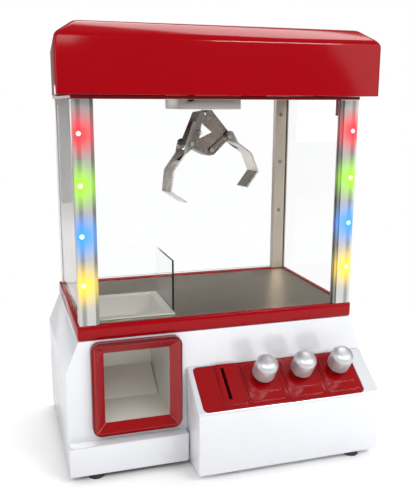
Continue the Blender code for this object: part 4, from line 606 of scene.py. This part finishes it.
def lathe(name, profile, place, finish, segments=64):
    """A turned mesh: a closed profile of (radius, height) swept round Z, then moved into place."""
    shape = bmesh.new()
    rings = []
    for k in range(segments):
        turn = 2 * math.pi * k / segments
        ring = [(r * math.cos(turn), r * math.sin(turn), height) for r, height in profile]
        rings.append([shape.verts.new(point) for point in ring])
    for k in range(segments):
        here, there = rings[k], rings[(k + 1) % segments]
        for j in range(len(profile) - 1):
            shape.faces.new((here[j], there[j], there[j + 1], here[j + 1]))
    bmesh.ops.remove_doubles(shape, verts=shape.verts, dist=1e-6)
    bmesh.ops.recalc_face_normals(shape, faces=shape.faces)
    bmesh.ops.transform(shape, matrix=place, verts=shape.verts)
    mesh = bpy.data.meshes.new(name)
    shape.to_mesh(mesh)
    shape.free()
    mesh.shade_smooth()
    mesh.set_sharp_from_angle(angle=SHARP)
    mesh.materials.append(finish)
    return mesh


def reach(node, origin, axis):
    """How low and how high a CAD node reaches along an axis, and how far from it."""
    vertices = NODES[node].data.vertices
    points = np.empty(3 * len(vertices), np.float32)
    vertices.foreach_get("co", points)
    points = points.reshape(-1, 3) - np.array(origin)
    along = points @ np.array(axis)
    away = np.linalg.norm(points - np.outer(along, np.array(axis)), axis=1)
    return float(along.min()), float(along.max()), float(away.max())


# ---------------------------------------------------------------- shapes made by geometry nodes


def grow_tree(name, inputs, make_shape):
    """A geometry tree that puts one made shape on each point, its Z along the point's facing."""
    made = bpy.data.node_groups.new(name, "GeometryNodeTree")
    made.interface.new_socket("Points", in_out="INPUT", socket_type="NodeSocketGeometry")
    made.interface.new_socket("Finish", in_out="INPUT", socket_type="NodeSocketMaterial")
    seed = made.interface.new_socket("Seed", in_out="INPUT", socket_type="NodeSocketInt")
    seed.default_value = 7
    for label, default in inputs.items():
        socket = made.interface.new_socket(label, in_out="INPUT", socket_type="NodeSocketFloat")
        socket.default_value = default
    made.interface.new_socket("Mesh", in_out="OUTPUT", socket_type="NodeSocketGeometry")
    t = Tree(made)
    into, out = t("NodeGroupInput").outputs, t("NodeGroupOutput").inputs
    shape = make_shape(t, into)
    stored = t("GeometryNodeInputNamedAttribute", {"Name": "facing"}, data_type="FLOAT_VECTOR")
    facing = {"Vector": stored.outputs[0]}
    aimed = t("FunctionNodeAlignRotationToVector", facing, axis="Z").outputs[0]
    chance = t("FunctionNodeRandomValue", data_type="FLOAT")
    values = {item.identifier: item for item in chance.inputs}
    t.feed(values["Max_001"], 2 * math.pi)
    t.feed(values["Seed"], into["Seed"])
    spin = next(o for o in chance.outputs if o.type == "VALUE" and o.enabled)
    turn = t("FunctionNodeEulerToRotation", {0: t.combine(Z=spin)}).outputs[0]
    ins = {"Rotation": aimed, "Rotate By": turn}
    turned = t("FunctionNodeRotateRotation", ins, rotation_space="LOCAL").outputs[0]
    ins = {"Points": into["Points"], "Instance": shape, "Rotation": turned}
    copies = t("GeometryNodeInstanceOnPoints", ins).outputs[0]
    real = t("GeometryNodeRealizeInstances", {0: copies}).outputs[0]
    ins = {"Geometry": real, "Material": into["Finish"]}
    t.feed(out["Mesh"], t("GeometryNodeSetMaterial", ins).outputs[0])
    return made


def grow(name, tree, points, finish, angle=SHARP, **sizes):
    """Runs a geometry tree on (place, facing) points, and returns its result as a plain mesh."""
    seeds = bpy.data.meshes.new(name + "_points")
    seeds.from_pydata([place for place, _ in points], [], [])
    facing = seeds.attributes.new("facing", "FLOAT_VECTOR", "POINT")
    ways = [Vector(way).normalized() for _, way in points]
    facing.data.foreach_set("vector", [value for way in ways for value in way])
    holder = add_object(name + "_points", seeds)
    modifier = holder.modifiers.new("grow", "NODES")
    modifier.node_group = tree
    items = tree.interface.items_tree
    sockets = {item.name: item.identifier for item in items if item.in_out == "INPUT"}
    modifier[sockets["Finish"]] = finish
    for label, value in sizes.items():
        modifier[sockets[label]] = value
    graph = bpy.context.evaluated_depsgraph_get()
    mesh = bpy.data.meshes.new_from_object(holder.evaluated_get(graph))
    holder.modifiers.clear()
    bpy.data.objects.remove(holder)
    mesh.name = name
    mesh.shade_smooth()
    mesh.set_sharp_from_angle(angle=angle)
    return mesh


def screw_shape(t, into):
    """A domed screw head with a cross recess; its lower half sits in the wall."""
    ins = {"Segments": 20, "Rings": 12, "Radius": into["Radius"]}
    ball = t("GeometryNodeMeshUVSphere", ins).outputs[0]
    flat = t.combine(X=1.0, Y=1.0, Z=t.math("DIVIDE", into["Height"], into["Radius"]))
    head = t("GeometryNodeTransform", {"Geometry": ball, "Scale": flat}).outputs[0]
    long = t.math("MULTIPLY", into["Radius"], 1.15)
    thin = t.math("MULTIPLY", into["Radius"], 0.24)
    deep = t.math("MULTIPLY", into["Height"], 1.1)
    lift = t.combine(Z=into["Height"])
    bars = []
    for x, y in ((long, thin), (thin, long)):
        bar = t("GeometryNodeMeshCube", {"Size": t.combine(X=x, Y=y, Z=deep)}).outputs[0]
        ins = {"Geometry": bar, "Translation": lift}
        bars.append(t("GeometryNodeTransform", ins).outputs[0])
    cross = t("GeometryNodeMeshBoolean", operation="UNION")
    recess = t("GeometryNodeMeshBoolean", operation="DIFFERENCE")
    for bar in bars:
        t.feed(cross.inputs["Mesh 2"], bar)
    t.feed(recess.inputs["Mesh 1"], head)
    t.feed(recess.inputs["Mesh 2"], cross.outputs[0])
    return recess.outputs[0]


def dome_shape(t, into):
    """A round lamp lens; its rear half sits in the post."""
    ins = {"Segments": 20, "Rings": 14, "Radius": into["Radius"]}
    return t("GeometryNodeMeshUVSphere", ins).outputs[0]


def coil_shape(t, into):
    """A wound spring: a helix with a round section, its turns close together."""
    ins = {
        "Resolution": 20,
        "Rotations": into["Turns"],
        "Start Radius": into["Radius"],
        "End Radius": into["Radius"],
        "Height": into["Height"],
    }
    path = t("GeometryNodeCurveSpiral", ins).outputs[0]
    ins = {"Resolution": 8, "Radius": into["Wire"]}
    ring = t("GeometryNodeCurvePrimitiveCircle", ins).outputs[0]
    ins = {"Curve": path, "Profile Curve": ring, "Fill Caps": True}
    return t("GeometryNodeCurveToMesh", ins).outputs[0]


SCREWS = grow_tree("screw_heads", {"Radius": 2.0 * MM, "Height": 0.7 * MM}, screw_shape)
DOMES = grow_tree("lamp_domes", {"Radius": 1.6 * MM}, dome_shape)
COIL_INPUTS = {"Turns": 6.0, "Radius": 3.0 * MM, "Height": 5.0 * MM, "Wire": 0.4 * MM}
COILS = grow_tree("coils", COIL_INPUTS, coil_shape)


# ---------------------------------------------------------------- pieces


def knobs():
    """The three silver knobs: a rounded foot, a straight side, a full dome and a blind bore."""
    for number in (1, 2, 3):
        pivot = Vector(JOINTS[f"lever_{number}_tilt"]["pos_m"])
        low, high, wide = reach(f"knob_{number}", pivot, OUT_OF_SLOPE)
        bottom = low + KNOB_BORE_DEPTH
        profile = [(0, bottom), (KNOB_BORE, bottom), (KNOB_BORE, low)]
        profile += arc((wide - KNOB_FOOT, low + KNOB_FOOT), KNOB_FOOT, -90, 0, 8)
        profile += dome(wide, high - KNOB_DOME, KNOB_DOME, 24, KNOB_FULLNESS)
        place = axes(pivot, OUT_OF_SLOPE, ACROSS)
        mesh = lathe(f"knob_{number}_turned", profile, place, M["knob_silver"])
        keep(f"knob_{number}_turned", mesh, f"lever_{number}", f"knob_{number}")


def lamps():
    """Eight lamp lenses, four in each front post."""
    points = [
        ((side * LAMP_X, FRONT + LAMP_SINK, LAMP_LOW + k * LAMP_PITCH), (0, -1, 0))
        for side in (-1, 1)
        for k in range(LAMP_COUNT)
    ]
    mesh = grow("lamp_lenses", DOMES, points, LAMP_LENS, Radius=LAMP_RADIUS)
    keep("lamp_lenses", mesh, "machine")


def screws():
    """Three up the right rear post, six under the base and one on the battery door."""
    forward, down = (0, -1, 0), (0, 0, -1)
    low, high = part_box("post_rear_right")
    points = [((low.x + POST_SCREW_INSET, low.y, z), forward) for z in POST_SCREW_HEIGHTS]
    low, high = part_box("bottom_plate")
    for x in (low.x + PLATE_SCREW_SIDE, 0.0, high.x - PLATE_SCREW_SIDE):
        for y in (FRONT + PLATE_SCREW_FRONT, high.y - PLATE_SCREW_BACK):
            points.append(((x, y, low.z), down))
    low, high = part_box("battery_door")
    points.append((((low.x + high.x) / 2, low.y + DOOR_SCREW_INSET, low.z), down))
    mesh = grow("screw_heads", SCREWS, points, SCREW, **SCREW_SIZE)
    keep("screw_heads", mesh, "machine")


def claw_frame():
    """The claw's frame: X across its hinges, Y along them, from the middle of the tray's rim."""
    right = Vector(JOINTS["claw_arm_right_hinge"]["pos_m"])
    left = Vector(JOINTS["claw_arm_left_hinge"]["pos_m"])
    along = (right - left).normalized()
    back = Vector(JOINTS["claw_arm_right_hinge"]["axis"]).normalized()
    back = back if back.y > 0 else -back
    up = along.cross(back)
    turn = Matrix((along, back, up)).transposed().to_4x4()
    return Matrix.Translation((right + left) / 2 + up * CLAW_RIM) @ turn


def claw_details():
    """The claw's two rivets and the spring in its tray."""
    place = claw_frame()
    forward = Matrix.Rotation(math.pi / 2, 4, "X")
    for name, (spot, wide, tall) in RIVETS.items():
        profile = [(0, -RIVET_SINK), (wide, -RIVET_SINK), (wide, 0), *dome(wide, 0, tall, 8)]
        where = place @ Matrix.Translation(spot) @ forward
        keep(name, lathe(name, profile, where, M["steel"], 32), "claw")
    away = place.to_3x3() @ Vector((0, -1, 0))
    points = [(place @ Vector(SPRING_PLACE), away)]
    mesh = grow("claw_spring", COILS, points, SCREW, math.pi, **SPRING_SIZE)
    keep("claw_spring", mesh, "claw")


def hoist_cord():
    """Three twisted strands from the drum to the claw."""
    low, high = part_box("hoist_cord")
    middle = (low + high) / 2
    turns = [2 * math.pi * j / CORD_SIDES for j in range(CORD_SIDES)]
    section = [Vector((CORD_STRAND * math.cos(a), CORD_STRAND * math.sin(a), 0)) for a in turns]
    shape = bmesh.new()
    for part in range(CORD_STRANDS):
        previous = None
        for k in range(CORD_RINGS + 1):
            share = k / CORD_RINGS
            turn = 2 * math.pi * (part / CORD_STRANDS + CORD_TURNS * share)
            x = middle.x + CORD_TWIST * math.cos(turn)
            y = middle.y + CORD_TWIST * math.sin(turn)
            centre = Vector((x, y, low.z + (high.z - low.z) * share))
            ring = [shape.verts.new(centre + corner) for corner in section]
            if previous:
                for j in range(CORD_SIDES):
                    n = (j + 1) % CORD_SIDES
                    shape.faces.new((previous[j], previous[n], ring[n], ring[j]))
            if k in (0, CORD_RINGS):
                shape.faces.new(ring if k else ring[::-1])
            previous = ring
    bmesh.ops.recalc_face_normals(shape, faces=shape.faces)
    mesh = bpy.data.meshes.new("hoist_cord_twisted")
    shape.to_mesh(mesh)
    shape.free()
    mesh.shade_smooth()
    mesh.materials.append(M["braided_cord"])
    made = add_object("hoist_cord_twisted", mesh)
    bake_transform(made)
    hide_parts("hoist_cord")


knobs()
lamps()
screws()
claw_details()
hoist_cord()


# ---------------------------------------------------------------- stage, light and camera


def seen_directly(t):
    """One for the camera's rays, through the clear sheets too, but not for reflections."""
    path = t("ShaderNodeLightPath").outputs
    unreflected = t.math("LESS_THAN", path["Glossy Depth"], 0.5)
    straight = t.math("MAXIMUM", path["Is Camera Ray"], path["Is Transmission Ray"])
    return t.math("MULTIPLY", straight, unreflected)


def floor():
    """A pale sheet that fades into the backdrop, so that only the machine's shadow shows."""
    bpy.ops.mesh.primitive_plane_add(size=FLOOR_SIZE, location=(0, 0, 0))
    made = bpy.context.object
    made.name = "stage_floor"
    paper, t, shader = material("stage_paper", Roughness=0.6, Specular_IOR_Level=0.1)
    shader["Base Color"].default_value = (0.94, 0.94, 0.94, 1)
    far = t.vector("LENGTH", t.place()).outputs["Value"]
    fade = t.spread(far, *FLOOR_FADE, kind="SMOOTHSTEP")
    clear = t.math("MULTIPLY", fade, seen_directly(t))
    gone = t("ShaderNodeBsdfTransparent").outputs[0]
    ins = {0: clear, 1: principled(paper).outputs[0], 2: gone}
    t.feed(surface(paper), t("ShaderNodeMixShader", ins).outputs[0])
    made.data.materials.append(paper)


def area(name, place, target, width, height, watts):
    """A rectangular light that faces its target and that the camera doesn't see."""
    light = bpy.data.lights.new(name, "AREA")
    light.shape = "RECTANGLE"
    light.size, light.size_y = width, height
    light.energy = watts
    made = add_object(name, light)
    made.location = place
    made.visible_camera = False
    away = Vector(place) - Vector(target)
    made.rotation_euler = away.to_track_quat("Z", "Y").to_euler()


def world():
    """White to the camera and through the clear sheets, and greyer to what it lights."""
    made = bpy.data.worlds.new("studio")
    bpy.context.scene.world = made
    made.use_nodes = True
    t = Tree(made.node_tree)
    path = t("ShaderNodeLightPath").outputs
    reflected = t.math("GREATER_THAN", path["Glossy Depth"], 0.5)
    glossy = t.math("MAXIMUM", path["Is Glossy Ray"], reflected)
    lit = t.math("MULTIPLY_ADD", glossy, WORLD_SHINE - WORLD_LIT, WORLD_LIT)
    back = made.node_tree.nodes["Background"].inputs
    back["Color"].default_value = (1, 1, 1, 1)
    t.feed(back["Strength"], t.math("MAXIMUM", seen_directly(t), lit))


def camera():
    """The camera: in front and to the left, and looking down a little."""
    lens = bpy.data.cameras.new("camera")
    lens.lens = LENS
    lens.sensor_width = SENSOR
    made = add_object("camera", lens)
    made.location = CAMERA_PLACE
    turn = Matrix.Rotation(math.radians(CAMERA_TURN), 3, "Z")
    tilt = Matrix.Rotation(math.radians(90 - CAMERA_DOWN), 3, "X")
    roll = Matrix.Rotation(math.radians(CAMERA_ROLL), 3, "Z")
    made.rotation_euler = (turn @ tilt @ roll).to_euler()
    bpy.context.scene.camera = made


floor()
world()
camera()
for light, settings in LIGHTS.items():
    area(light, *settings)
bpy.context.scene.view_settings.view_transform = "Standard"
